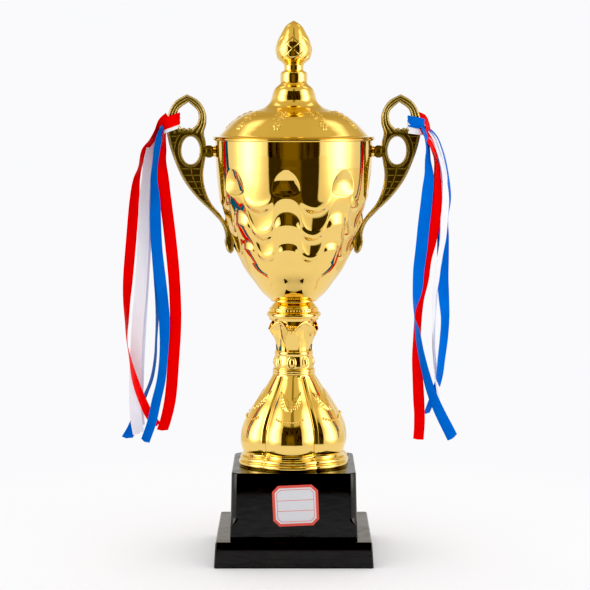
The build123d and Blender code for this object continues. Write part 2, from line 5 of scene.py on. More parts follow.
import bpy
import numpy as np
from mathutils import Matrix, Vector


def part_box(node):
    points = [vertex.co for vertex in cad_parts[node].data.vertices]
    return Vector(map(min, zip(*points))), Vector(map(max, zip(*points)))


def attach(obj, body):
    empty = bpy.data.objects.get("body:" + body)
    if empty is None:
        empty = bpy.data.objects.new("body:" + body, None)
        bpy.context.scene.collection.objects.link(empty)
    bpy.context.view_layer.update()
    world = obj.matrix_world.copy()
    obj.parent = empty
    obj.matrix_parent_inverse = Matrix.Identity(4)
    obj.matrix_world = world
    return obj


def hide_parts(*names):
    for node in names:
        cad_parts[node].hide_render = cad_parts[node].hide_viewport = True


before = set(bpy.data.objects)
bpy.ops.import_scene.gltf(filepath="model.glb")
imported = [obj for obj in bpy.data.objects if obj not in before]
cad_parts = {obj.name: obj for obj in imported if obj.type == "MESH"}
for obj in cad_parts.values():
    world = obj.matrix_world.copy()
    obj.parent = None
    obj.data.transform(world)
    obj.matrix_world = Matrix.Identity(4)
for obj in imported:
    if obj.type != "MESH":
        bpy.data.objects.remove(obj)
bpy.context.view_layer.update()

MM = 0.001
FRONT = -90.0
DEGREES_PER_RADIAN = 57.3


# ---- Node materials -----------------------------------------------------------------------
class Shader:
    """A small helper around one node tree."""

    def __init__(self, name, **sockets):
        self.material = bpy.data.materials.new(name)
        self.material.use_nodes = True
        self.tree = self.material.node_tree
        self.surface = self.tree.nodes["Principled BSDF"]
        for socket, value in sockets.items():
            self.surface.inputs[socket.replace("_", " ")].default_value = value

    def node(self, kind, **settings):
        made = self.tree.nodes.new(kind)
        for setting, value in settings.items():
            setattr(made, setting, value)
        return made

    def link(self, source, target):
        self.tree.links.new(source, target)

    def feed(self, socket, source):
        """Drive one input of the surface."""
        self.link(source, self.surface.inputs[socket])

    def coordinates(self):
        return self.node("ShaderNodeTexCoord").outputs["Object"]

    def noise(self, scale, detail=3.0, stretch=None):
        """Cloudy pattern in the object's own space, finer with scale."""
        vector = self.coordinates()
        if stretch:
            mapping = self.node("ShaderNodeMapping")
            mapping.inputs["Scale"].default_value = stretch
            self.link(vector, mapping.inputs["Vector"])
            vector = mapping.outputs["Vector"]
        texture = self.node("ShaderNodeTexNoise")
        texture.inputs["Scale"].default_value = scale
        texture.inputs["Detail"].default_value = detail
        self.link(vector, texture.inputs["Vector"])
        return texture.outputs["Fac"]

    def ramp(self, source, low, high, first, last):
        """Value between first and last as source goes from low to high."""
        span = self.node("ShaderNodeMapRange")
        for socket, value in (("From Min", low), ("From Max", high), ("To Min", first), ("To Max", last)):
            span.inputs[socket].default_value = value
        self.link(source, span.inputs["Value"])
        return span.outputs["Result"]

    def mix(self, factor, first, last):
        """Blend of two colours, each either fixed or taken from another node."""
        blend = self.node("ShaderNodeMix", data_type="RGBA")
        for socket, colour in (("A", first), ("B", last)):
            if isinstance(colour, tuple):
                blend.inputs[socket].default_value = (*colour, 1)
            else:
                self.link(colour, blend.inputs[socket])
        self.link(factor, blend.inputs["Factor"])
        return blend.outputs["Result"]

    def blend_shaders(self, factor, first, last):
        """One surface or background fading into another."""
        blend = self.node("ShaderNodeMixShader")
        self.link(factor, blend.inputs["Fac"])
        self.link(first, blend.inputs[1])
        self.link(last, blend.inputs[2])
        return blend.outputs["Shader"]

    def bump(self, height, strength, distance):
        """Fine relief on the surface, up to distance metres high."""
        made = self.node("ShaderNodeBump")
        made.inputs["Strength"].default_value = strength
        made.inputs["Distance"].default_value = distance
        self.link(height, made.inputs["Height"])
        self.feed("Normal", made.outputs["Normal"])

    def number(self, kind, *values):
        """Result of a sum on fixed numbers and other nodes' values."""
        made = self.node("ShaderNodeMath", operation=kind)
        for socket, value in zip(made.inputs, values):
            if isinstance(value, float):
                socket.default_value = value
            else:
                self.link(value, socket)
        return made.outputs["Value"]

    def azimuth(self, x, y):
        """Degrees round from the front, positive towards +x."""
        turn = self.number("ARCTAN2", x, self.number("MULTIPLY", y, -1.0))
        return self.number("MULTIPLY", turn, DEGREES_PER_RADIAN)

    def window(self, value, low, high, soft):
        """One between low and high, falling to nothing over a soft edge outside."""
        rise = self.ramp(value, low - soft, low, 0.0, 1.0)
        fall = self.ramp(value, high, high + soft, 1.0, 0.0)
        return self.number("MULTIPLY", rise, fall)

    def bell(self, value, middle, spread):
        """Smooth hump that is one at the middle."""
        off = self.number("DIVIDE", self.number("SUBTRACT", value, middle), spread)
        return self.number("EXPONENT", self.number("MULTIPLY", self.number("MULTIPLY", off, off), -1.0))


def mirror_gold(name, roughness, ripple):
    """Bright gold plating: nearly a mirror, with a faint waviness and uneven polish."""
    shader = Shader(name, Metallic=1.0, Roughness=roughness)
    shader.feed("Base Color", shader.mix(shader.noise(60.0), (0.92, 0.645, 0.20), (0.89, 0.62, 0.185)))
    polish = shader.ramp(shader.noise(140.0, 4.0), 0.35, 0.75, roughness * 0.7, roughness * 1.5)
    shader.feed("Roughness", polish)
    shader.bump(shader.noise(55.0, 2.0), ripple, 0.0004)
    return shader.material


def bronze_painted_highlight():
    """Dark bronze plating, also dark in its recesses, with a painted highlight along its raised lines and
    edges.
    """
    shader = Shader("bronze_painted_highlight", Metallic=1.0)
    # How raised each point is, with a little noise, decides where the highlight is painted.
    relief = shader.node("ShaderNodeAttribute", attribute_name="relief")
    highlight_level = shader.node("ShaderNodeMath", operation="ADD")
    shader.link(relief.outputs["Fac"], highlight_level.inputs[0])
    shader.link(shader.ramp(shader.noise(900.0, 5.0), 0.3, 0.7, -0.05, 0.05), highlight_level.inputs[1])
    # Painted highlight: the most raised lines and edges take a light bronze colour, and the rest stays dark
    # bronze.
    bright = shader.ramp(highlight_level.outputs["Value"], 0.56, 0.86, 0.0, 1.0)
    shader.feed("Base Color", shader.mix(bright, (0.15, 0.108, 0.026), (0.70, 0.53, 0.22)))
    shader.feed("Roughness", shader.ramp(bright, 0.0, 1.0, 0.5, 0.38))
    shader.bump(shader.noise(1500.0, 4.0), 0.06, 0.0002)
    return shader.material


def black_plastic():
    """Glossy black moulding with fine dust and hairline scuffs."""
    shader = Shader("black_plastic", Roughness=0.2)
    shader.surface.inputs["Specular IOR Level"].default_value = 0.45
    dust = shader.ramp(shader.noise(2600.0, 2.0), 0.74, 0.8, 0.0, 1.0)
    shader.feed("Base Color", shader.mix(dust, (0.0045, 0.0043, 0.0045), (0.05, 0.05, 0.05)))
    shader.feed("Roughness", shader.ramp(shader.noise(90.0, 6.0, (1, 1, 5)), 0.3, 0.7, 0.13, 0.28))
    shader.bump(shader.noise(30.0, 2.0), 0.12, 0.0006)
    return shader.material


def zinc_steel():
    """Plated steel fasteners with turned streaks."""
    shader = Shader("zinc_steel", Metallic=1.0)
    shader.feed("Base Color", shader.mix(shader.noise(700.0), (0.62, 0.62, 0.6), (0.75, 0.74, 0.68)))
    shader.feed("Roughness", shader.ramp(shader.noise(2200.0, 3.0, (1, 1, 0.2)), 0.3, 0.7, 0.22, 0.42))
    return shader.material


def foam_sheet():
    """Matt black closed-cell foam."""
    shader = Shader("foam_sheet", Roughness=0.9)
    shader.feed("Base Color", shader.mix(shader.noise(1800.0), (0.012, 0.012, 0.013), (0.035, 0.035, 0.036)))
    shader.bump(shader.noise(2500.0, 2.0), 0.4, 0.0003)
    return shader.material


def cast_cement():
    """Grey cement with sand grains."""
    shader = Shader("cast_cement", Roughness=0.95)
    shader.feed("Base Color", shader.mix(shader.noise(800.0, 6.0), (0.3, 0.29, 0.27), (0.55, 0.53, 0.5)))
    shader.bump(shader.noise(1200.0, 5.0), 0.6, 0.0006)
    return shader.material


def printed_paper(name, first, last):
    """Coated paper with slightly uneven ink."""
    shader = Shader(name, Roughness=0.45)
    shader.feed("Base Color", shader.mix(shader.noise(1400.0, 4.0), first, last))
    shader.bump(shader.noise(3000.0, 2.0), 0.08, 0.0001)
    return shader.material


def satin(name, dark, light, ribs_along):
    """Satin tape: fine crosswise ribs, a soft sheen and slightly mottled dye."""
    shader = Shader(name, Roughness=0.5)
    shader.surface.inputs["Specular IOR Level"].default_value = 0.12
    weave = shader.node("ShaderNodeUVMap", uv_map="tape")
    waves = shader.node("ShaderNodeTexWave", bands_direction="Y")
    waves.inputs["Scale"].default_value = ribs_along
    waves.inputs["Distortion"].default_value = 0.6
    shader.link(weave.outputs["UV"], waves.inputs["Vector"])
    mottle = shader.node("ShaderNodeMath", operation="MULTIPLY_ADD")
    shader.link(waves.outputs["Fac"], mottle.inputs[0])
    mottle.inputs[1].default_value = 0.25
    shader.link(shader.ramp(shader.noise(60.0, 2.0), 0.3, 0.7, 0.3, 0.75), mottle.inputs[2])
    shader.feed("Base Color", shader.mix(mottle.outputs["Value"], dark, light))
    shader.bump(waves.outputs["Fac"], 0.25, 0.00015)
    return shader.material


gold_metal = mirror_gold("gold_metal", 0.045, 0.10)
gold_plated = mirror_gold("gold_plated", 0.06, 0.12)
bronze = bronze_painted_highlight()
plastic = black_plastic()
steel = zinc_steel()


# ---- Mesh helpers -------------------------------------------------------------------------
def make_object(name, vertices, faces, materials, sharp=35.0):
    """Mesh object from points in millimetres."""
    mesh = bpy.data.meshes.new(name)
    mesh.from_pydata((np.asarray(vertices) * MM).tolist(), [], faces)
    mesh.validate()
    for material in materials:
        mesh.materials.append(material)
    mesh.shade_smooth()
    mesh.set_sharp_from_angle(angle=math.radians(sharp))
    made = bpy.data.objects.new(name, mesh)
    bpy.context.scene.collection.objects.link(made)
    return made


def settle(piece, body, nodes):
    """Say what a piece rides on and which CAD nodes it stands for, which are hidden."""
    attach(piece, body)
    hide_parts(*nodes)
    return piece


def curve_through(points, spacing):
    """Smooth line through points of any dimension, resampled at about an even spacing."""
    points = np.asarray(points, float)
    ends = np.vstack([2 * points[0] - points[1], points, 2 * points[-1] - points[-2]])
    line = [points[0]]
    for p0, p1, p2, p3 in zip(ends, ends[1:], ends[2:], ends[3:]):
        t0 = 0.0
        t1 = t0 + max(np.linalg.norm((p1 - p0)[:2]), 1e-6) ** 0.5
        t2 = t1 + max(np.linalg.norm((p2 - p1)[:2]), 1e-6) ** 0.5
        t3 = t2 + max(np.linalg.norm((p3 - p2)[:2]), 1e-6) ** 0.5
        steps = max(2, int(round(np.linalg.norm((p2 - p1)[:2]) / spacing)))
        for t in np.linspace(t1, t2, steps + 1)[1:]:
            a1 = (t1 - t) / (t1 - t0) * p0 + (t - t0) / (t1 - t0) * p1
            a2 = (t2 - t) / (t2 - t1) * p1 + (t - t1) / (t2 - t1) * p2
            a3 = (t3 - t) / (t3 - t2) * p2 + (t - t2) / (t3 - t2) * p3
            b1 = (t2 - t) / (t2 - t0) * a1 + (t - t0) / (t2 - t0) * a2
            b2 = (t3 - t) / (t3 - t1) * a2 + (t - t1) / (t3 - t1) * a3
            line.append((t2 - t) / (t2 - t1) * b1 + (t - t1) / (t2 - t1) * b2)
    return np.array(line)


def rounded_line(corners, spacing, steps=5):
    """Straight runs between (radius, height, fillet) corners, with each corner rounded."""
    corners = [np.array(corner, float) for corner in corners]
    line = [corners[0][:2]]
    for before, corner, after in zip(corners, corners[1:], corners[2:]):
        here = corner[:2]
        back = before[:2] - here
        ahead = after[:2] - here
        reach = min(corner[2], 0.45 * np.linalg.norm(back), 0.45 * np.linalg.norm(ahead))
        if reach < 1e-3:
            line.append(here)
            continue
        start = here + back / np.linalg.norm(back) * reach
        end = here + ahead / np.linalg.norm(ahead) * reach
        for t in np.linspace(0, 1, steps + 1):
            line.append((1 - t) ** 2 * start + 2 * t * (1 - t) * here + t * t * end)
    line.append(corners[-1][:2])
    return refine(line, spacing)


def refine(line, spacing):
    """Divide the long runs of a line, keeping its points."""
    fine = [line[0]]
    for first, last in zip(line, line[1:]):
        parts = max(1, int(math.ceil(np.linalg.norm(last - first) / spacing)))
        fine += [first + (last - first) * part / parts for part in range(1, parts + 1)]
    return np.array(fine)


def smooth_step(value, low, high):
    """Smooth rise from nothing at low to one at high."""
    t = np.clip((value - low) / (high - low), 0.0, 1.0)
    return t * t * (3 - 2 * t)


def wrap_angle(angle, step):
    """Angle in degrees measured from the nearest multiple of step."""
    return (angle + step / 2) % step - step / 2


def ring_faces(low, high, count):
    """Quads between two rings of points, given the first point of each."""
    turns = [(column, (column + 1) % count) for column in range(count)]
    return [(low + here, low + after, high + after, high + here) for here, after in turns]


def inner_wall(wall, thickness):
    """The line of a wall's inside, at an even thickness from its outside."""
    slope = np.gradient(wall, axis=0)
    length = np.linalg.norm(slope, axis=1)
    return wall + thickness * np.stack([-slope[:, 1], slope[:, 0]], 1) / length[:, None]


def lathe(name, profile, columns, materials, base=(0, 0, 0), relief=None, loop=True, sharp=35.0,
          along_normal=False, start=0.0):
    """Turned surface.  relief(angle, radius, height) gives how far each point moves outwards, or
    along the surface's own normal."""
    profile = np.asarray(profile, float)
    angle = start + np.arange(columns) * 360.0 / columns
    radius = np.repeat(profile[:, :1], columns, 1)
    height = np.repeat(profile[:, 1:2], columns, 1)
    if relief is not None:
        lift = relief(np.repeat(angle[None], len(profile), 0), radius, height)
        out, up = 1.0, 0.0
        if along_normal:
            slope = np.gradient(profile, axis=0)
            slope /= np.linalg.norm(slope, axis=1)[:, None] + 1e-9
            out, up = slope[:, 1:2], -slope[:, 0:1]
        radius, height = radius + lift * out, height + lift * up
    turn = np.radians(angle)[None]
    points = np.stack([radius * np.cos(turn), radius * np.sin(turn), height], -1)
    vertices = points.reshape(-1, 3) + np.array(base)
    rows = len(profile)
    faces = []
    for row in range(rows if loop else rows - 1):
        faces += ring_faces(row * columns, (row + 1) % rows * columns, columns)
    if not loop:
        faces.append(tuple(range(columns))[::-1])
        top = (rows - 1) * columns
        faces.append(tuple(range(top, top + columns)))
    return make_object(name, vertices, faces, materials, sharp)


def sheet_faces(rows, columns, closed=False):
    """Faces of a thin strip whose front and back are equal grids of points."""
    back = rows * columns
    faces = []
    for row in range(rows if closed else rows - 1):
        here, after = row * columns, (row + 1) % rows * columns
        for column in range(columns - 1):
            a, b, c, d = here + column, here + column + 1, after + column + 1, after + column
            faces += [(a, b, c, d), (back + d, back + c, back + b, back + a)]
        last = columns - 1
        faces.append((here, after, back + after, back + here))
        faces.append((back + here + last, back + after + last, after + last, here + last))
    if not closed:
        for a in range(columns - 1):
            faces.append((back + a, back + a + 1, a + 1, a))
        for a in range((rows - 1) * columns, rows * columns - 1):
            faces.append((a, a + 1, back + a + 1, back + a))
    return faces


def node_base(node):
    """Centre line point at the bottom of a CAD node, in millimetres."""
    low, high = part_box(node)
    return np.array([0.0, 0.0, low.z / MM])


def join_pieces(main, others):
    """Fold other mesh objects into the main one."""
    for item in bpy.context.selected_objects:
        item.select_set(False)
    for item in [main, *others]:
        item.select_set(True)
    bpy.context.view_layer.objects.active = main
    bpy.ops.object.join()
    return main


def beads(centres, radii, rings=6, sides=10):
    """Vertices and faces of a row of small balls."""
    vertices = []
    faces = []
    for centre, radius in zip(centres, radii):
        first = len(vertices)
        vertices.append(centre + np.array([0, 0, radius]))
        for ring in range(1, rings):
            polar = math.pi * ring / rings
            for side in range(sides):
                turn = 2 * math.pi * side / sides
                vertices.append(centre + radius * np.array([math.sin(polar) * math.cos(turn),
                                                            math.sin(polar) * math.sin(turn),
                                                            math.cos(polar)]))
        vertices.append(centre - np.array([0, 0, radius]))
        last = len(vertices) - 1
        for side in range(sides):
            after = (side + 1) % sides
            faces.append((first, first + 1 + side, first + 1 + after))
            faces.append((last, last - sides + after, last - sides + side))
            for ring in range(rings - 2):
                here = first + 1 + ring * sides
                faces.append((here + side, here + sides + side, here + sides + after, here + after))
    return vertices, faces


def ring_points(radius, height, angles):
    """Points around the centre line at the given angles in degrees."""
    turns = np.radians(np.asarray(angles, float))
    radius = np.broadcast_to(radius, turns.shape)
    height = np.broadcast_to(height, turns.shape)
    return np.stack([radius * np.cos(turns), radius * np.sin(turns), height], -1)


# ---- Cup ----------------------------------------------------------------------------------
CUP_FIRST_COLUMN = FRONT - 5.5
CUP_COLUMN_STEP = 45.0
DISH_TOP = 111.0
SCALES_TOP = 88.0
CUP_WALL = [(20.2, 0.1), (26.6, 6.1), (34.0, 15.9), (41.0, 25.5), (46.6, 37.5), (51.4, 51.5), (57.0, 68.0),
            (61.2, 81.5), (63.6, 93.5), (65.0, 107.5), (65.8, 121.5), (66.0, 135.0)]
CUP_THICKNESS = 0.9
RIM_BEAD = 1.3
ROD_HOLE = 3.4


def cup_profile():
    """Closed section of the cup: floor, wall, rolled rim and the inside again."""
    wall = curve_through(CUP_WALL, 0.55)
    inside = inner_wall(wall, CUP_THICKNESS)
    bead = [(66.7 + RIM_BEAD * math.cos(turn), 135.0 + RIM_BEAD * math.sin(turn))
            for turn in np.radians(np.linspace(-115, 190, 16))]
    floor_out = [(ROD_HOLE, 0.0), (12.0, 0.0), (19.2, 0.0)]
    floor_in = [(18.0, 1.0), (10.0, 1.0), (ROD_HOLE, 1.0)]
    return np.vstack([floor_out, wall[:-1], bead, inside[:-2][::-2], floor_in])


def egg(across, up, power=0.75):
    """Height of a domed oval whose edge is at 1."""
    return np.clip(1 - across ** 2 - up ** 2, 0, 1) ** power


def arched_dish(angle, height):
    """Dimple at the head of a column: a pointed-round outline, deepest in its upper third."""
    t = (DISH_TOP - height) / (DISH_TOP - SCALES_TOP)
    above_widest = np.clip((height - (DISH_TOP - 17.0)) / 17.0, 0, 1)
    half_width = 10.6 * np.clip(1 - above_widest ** 2, 0.003, 1) ** 0.58
    across = np.clip(1 - (angle / half_width) ** 2, 0, 1) ** 0.85
    foot = SCALES_TOP + 3.5 * (angle / 10.8) ** 2
    bowl = np.interp(t, [0.0, 0.36, 0.46, 0.72, 1.0], [0.0, 0.92, 1.0, 0.8, 0.0])
    bowl *= smooth_step(height, foot - 0.2, foot + 2.5)
    rim = 0.25 * np.exp(-((t + 0.03) / 0.035) ** 2) * np.exp(-(angle / 6.0) ** 2)
    return rim - 3.2 * across * bowl


def arch_edge(angle, top, drop, half_width):
    """Height of a rounded arch at an angle from its middle."""
    return top - drop * (1 - np.sqrt(np.clip(1 - (angle / half_width) ** 2, 0, 1)))


def scales(angle, height):
    """Two overlapping scales: each sinks under its arched edge, then swells into a lip."""
    edges = [arch_edge(angle, SCALES_TOP, 9.5, 9.8), arch_edge(angle, 64.2, 4.5, 10.6),
             arch_edge(angle, 43.5, 3.0, 8.8), arch_edge(angle, 33.0, 3.0, 8.8)]
    runs = [([0.0, 0.06, 0.45, 0.54, 0.88, 0.95, 1.0], [0.0, -0.2, -1.5, -1.35, 1.6, 1.8, 1.65], 10.8),
            ([0.0, 0.45, 0.6, 0.68, 0.93, 1.0], [1.65, 0.0, -0.6, -0.5, 1.5, 1.35], 9.4),
            ([0.0, 1.0], [1.35, 0.0], 9.0)]
    relief = np.zeros_like(angle)
    for upper, lower, (places, levels, half_width) in zip(edges, edges[1:], runs):
        t = (upper - height) / (upper - lower)
        across = np.clip(1 - np.abs(angle / half_width) ** 4, 0, 1) ** 0.8
        relief = np.where((t >= 0) & (t < 1), across * np.interp(t, places, levels), relief)
    return relief


def shell_dish(angle, height, top, bottom, half_width, depth, rim):
    """Sunken scoop with a round foot below a bold rim that sags in the middle."""
    u = angle / half_width
    sag = top - (top - bottom) * 0.24 * (1 - np.clip(u, -1, 1) ** 2)
    v = (sag - height) / np.maximum(sag - bottom, 1.0)
    side = np.sqrt(np.clip(1 - np.clip(v, 0, 1) ** 2.6, 0, 1)) + 1e-3
    in_side = np.clip(1 - (u / side) ** 2, 0, 1) ** 0.85
    fall = smooth_step(v, -0.02, 0.22) * (1 - np.clip((v - 0.22) / 0.78, 0, 1) ** 2)
    ridge_span = (height - sag) / (0.16 * (top - bottom))
    ridge = np.exp(-((ridge_span - 0.7) ** 2)) * np.clip(1 - (u / 1.06) ** 6, 0, 1)
    return rim * ridge - depth * in_side * fall * (v > 0)


def cup_relief(angle, radius, height):
    """Stamped pattern: columns of a dish over two scales, alternating with columns of scoops."""
    first = wrap_angle(angle - CUP_FIRST_COLUMN, CUP_COLUMN_STEP)
    second = wrap_angle(angle - CUP_FIRST_COLUMN - CUP_COLUMN_STEP / 2, CUP_COLUMN_STEP)
    relief = arched_dish(first, height) + scales(first, height)
    relief += shell_dish(second, height, 83.5, 61.0, 12.0, 2.4, 0.9)
    relief += shell_dish(second, height, 59.5, 40.5, 10.5, 2.0, 0.8)
    relief += shell_dish(second, height, 39.5, 26.0, 9.5, 1.0, 0.6)
    return relief * smooth_step(height, 2.0, 14.0)


def build_cup():
    """The stamped cup."""
    cup = lathe("cup_stamped", cup_profile(), 640, [gold_metal], node_base("bowl"), cup_relief, sharp=50,
                start=CUP_FIRST_COLUMN)
    settle(cup, "trophy", ["bowl"])


# ---- Lid ----------------------------------------------------------------------------------
LID_WALL = [(61.8, 7.6), (57.1, 12.7), (52.1, 17.7), (45.6, 22.7), (38.5, 26.1), (30.5, 28.5), (24.0, 31.1),
            (19.6, 35.7), (17.8, 41.7), (16.0, 46.1), (11.6, 50.1)]
LID_THICKNESS = 1.1
STUD_HOLE = 2.2
SPRIGS = 9
SPRIG_START = FRONT - 14.0
SPRIG_RADIUS = 45.0


def lid_profile():
    """Closed section of the lid: skirt, rolled brim, dome, bell and the underside."""
    wall = curve_through(LID_WALL, 0.5)
    inside = inner_wall(wall, LID_THICKNESS)[::-2]
    skirt = [(63.1, 0.2), (63.3, 0.0), (64.1, 0.0), (64.3, 0.2), (64.3, 5.3), (64.8, 5.5), (67.3, 5.5)]
    brim = [(67.9, 5.6), (68.2, 5.9), (67.9, 6.2), (67.2, 6.35), (65.0, 6.4), (63.2, 6.6), (62.4, 7.0)]
    crown = [(11.3, 50.6), (11.0, 51.0), (10.4, 51.2), (6.0, 51.2), (STUD_HOLE, 51.2), (STUD_HOLE, 50.0)]
    return np.vstack([skirt, brim, wall, crown, inside, [(62.9, 6.0), (63.1, 5.4)]])


def sprig(across, outward):
    """Raised flower spray on the lid: a stalk, paired leaves and a head of petals."""
    height = 0.6 * np.exp(-(across / 0.45) ** 2) * (np.abs(outward) < 10.0)
    for place, size, lean in ((-8.5, 2.6, 0.9), (-4.0, 3.2, 0.8), (1.0, 3.0, 0.7)):
        for side in (-1, 1):
            along = (across * side - 2.9) * math.cos(lean) + (outward - place) * math.sin(lean)
            off = (outward - place) * math.cos(lean) - (across * side - 2.9) * math.sin(lean)
            height = np.maximum(height, egg(along / size, off / 1.25, 0.6))
    for petal in range(6):
        turn = math.radians(60 * petal)
        petal_across = across - 2.5 * math.cos(turn)
        petal_out = outward - 8.8 - 2.5 * math.sin(turn)
        height = np.maximum(height, egg(petal_across / 1.35, petal_out / 1.35, 0.6))
    return np.maximum(height, 1.1 * egg(across / 1.0, (outward - 8.8) / 1.0, 0.6))


def lid_relief(angle, radius, height):
    """Sprigs spread round the dome, between the foot of the bell and the brim."""
    turn = wrap_angle(angle - SPRIG_START, 360.0 / SPRIGS)
    across = np.radians(turn) * radius
    outward = radius - SPRIG_RADIUS
    on_top = smooth_step(height, 7.5, 9.0) * smooth_step(-height, -30.5, -28.5)
    return 0.75 * on_top * sprig(across, outward)


def build_lid():
    """The embossed lid."""
    lid = lathe("lid_embossed", lid_profile(), 720, [gold_metal], node_base("lid_dome"), lid_relief, sharp=50,
                along_normal=True)
    settle(lid, "lid", ["lid_dome"])


# ---- Finial -------------------------------------------------------------------------------
FINIAL_DRUM = [(0.1, 0.0, 0), (11.0, 0.0, 0.3), (11.3, 1.2, 0.5), (11.3, 7.0, 1.0), (10.6, 8.9, 0.8),
               (8.0, 9.9, 1.2), (8.0, 14.6, 1.5), (9.2, 16.1, 0.3)]
FINIAL_ACORN = [(9.2, 16.1), (13.4, 19.9), (15.1, 26.3), (14.2, 32.4), (10.9, 39.9), (6.3, 47.4), (0.1, 51.5)]
LATTICE_CELLS = 8
LATTICE_CROSSING = 27.9
LATTICE_PITCH = 10.4


def finial_relief(angle, radius, height):
    """Net of thin raised strands that cross in diamonds round the acorn."""
    turn = angle - FRONT + 4.0
    cell = 360.0 / LATTICE_CELLS
    climb = (height - LATTICE_CROSSING) / LATTICE_PITCH * cell
    apex = LATTICE_CROSSING + LATTICE_PITCH * (1 - np.abs(wrap_angle(turn, cell)) / cell)
    band = smooth_step(height, 18.0, 19.5) * (1 - smooth_step(height, apex + 0.4, apex + 1.2))
    strands = 0
    pillow = np.ones_like(turn)
    for way in (-1, 1):
        off = np.abs(wrap_angle(turn + way * climb, cell)) / 180 * math.pi * radius
        strands = np.maximum(strands, np.exp(-(off / 0.40) ** 2))
        pillow = np.minimum(pillow, smooth_step(off, 0.2, 2.0))
    return band * (0.36 * strands - 0.15 * (1 - pillow))


def build_finial():
    """The turned drum and netted acorn on top of the lid."""
    drum = rounded_line(FINIAL_DRUM, 0.6)
    acorn = curve_through(FINIAL_ACORN, 0.3)
    knob = lathe("finial_acorn", np.vstack([drum, acorn[1:]]), 320, [gold_plated], node_base("finial"),
                 finial_relief, loop=False, sharp=50)
    settle(knob, "lid", ["finial"])


# ---- Stem ---------------------------------------------------------------------------------
LOBES = 6
LOBE_STEP = 360.0 / LOBES
LOBE_START = FRONT - 5.0
FOOT_VALLEY_DEPTH = 0.05
BULB_VALLEY_DEPTH = 0.10
BEAD_ROW_HALF = 16.0
CABOCHONS = 8
CABOCHON_STEP = 360.0 / CABOCHONS
CABOCHON_HEIGHT = 87.4
PETALS = 5
PETAL_STEP = 360.0 / PETALS
NECK_START = FRONT - 6.0
STEM_FOOT = [(ROD_HOLE, 0.0, 0), (46.6, 0.0, 0.3), (46.8, 0.8, 0.4), (47.8, 1.5, 0.6), (47.8, 3.6, 0.9),
             (46.4, 4.7, 0.5), (45.9, 5.0, 0.3), (46.6, 6.0, 0.6), (46.4, 7.6, 0.8), (45.5, 8.6, 0.6),
             (44.4, 9.2, 0.5), (44.0, 10.2, 0.4), (43.6, 11.3, 0.5)]
STEM_BULB = [(43.6, 11.3), (45.9, 15.3), (46.8, 22.3), (46.2, 29.0), (44.4, 35.3), (40.9, 42.3), (36.2, 50.0),
             (30.5, 57.8), (25.2, 65.5), (20.3, 73.2), (17.6, 77.2)]
STEM_NECK = [(17.4, 77.2, 0.1), (17.9, 77.6, 0.4), (18.1, 78.6, 0.5), (17.6, 79.4, 0.3), (18.0, 80.2, 0.4),
             (17.7, 81.4, 0.4), (16.5, 82.0, 0.4), (16.9, 86.0, 2.0), (15.7, 92.6, 0.6), (16.1, 93.6, 0.4),
             (16.4, 94.8, 0.5), (16.0, 96.0, 0.4), (15.4, 96.8, 0.4)]
STEM_FLARE = [(15.4, 96.8), (13.6, 97.6), (13.9, 99.0), (14.75, 101.5), (15.6, 104.0), (16.5, 106.6),
              (17.4, 109.1), (18.5, 111.7), (19.6, 114.2)]
STEM_HEAD = [(19.6, 114.2, 0), (19.9, 115.2, 0.5), (18.6, 117.2, 1.0), (16.8, 119.0, 1.0), (16.8, 122.8, 0.3),
             (ROD_HOLE, 122.8, 0)]
FLARE_INSIDE = 13.0
PETAL_FOOT = 96.6
PETAL_NOTCH = 115.4
PETAL_PEAK = 122.4
PETAL_WALL = 0.9
PETAL_GAP = 0.36
PETAL_RIM = 0.45
PETAL_EDGE = [(15.3, PETAL_FOOT), (15.4, 100.0), (15.9, 104.0), (16.9, 106.6), (18.1, 109.1), (19.5, 111.7),
              (20.8, 114.2), (21.5, PETAL_NOTCH)]
PETAL_CREASE = [(15.2, PETAL_FOOT), (15.2, 100.0), (15.5, 104.0), (15.9, 108.0), (16.3, 112.0), (16.9, 116.0),
                (17.7, 119.0), (18.4, PETAL_PEAK)]
PANEL_HALF = [(PETAL_FOOT, 24.2), (101.6, 24.0), (105.8, 21.0), (109.2, 16.0), (111.7, 11.4), (114.2, 8.0)]
NOTCH_BEADS = [(113.4, 19.5, 1.4), (118.2, 18.4, 1.4)]


def stem_profile():
    """Outer line of the stem from under its foot to its flat top."""
    foot = rounded_line(STEM_FOOT, 0.5)
    bulb = curve_through(STEM_BULB, 0.5)
    neck = rounded_line(STEM_NECK, 0.4)
    flare = curve_through(STEM_FLARE, 0.4)
    head = rounded_line(STEM_HEAD, 0.4)
    return np.vstack([foot, bulb[1:], neck[1:], flare[1:], head[1:]])


def leaf(across, along, length, width):
    """Pointed leaf along +along, with a raised midrib and a toothed edge."""
    t = np.clip(along / length, 0, 1)
    edge = width * np.sin(math.pi * t ** 0.8) * (1 + 0.18 * np.cos(2 * math.pi * t * 7))
    inside = np.clip(1 - np.abs(across) / (edge + 1e-3), 0, 1)
    on = (along > 0) & (along < length)
    veins = 0.10 * np.cos(2 * math.pi * (t * 7 + np.abs(across) / width))
    return on * (0.55 * inside ** 0.5 + 0.25 * np.exp(-(across / 0.35) ** 2) + veins * (inside > 0.1))


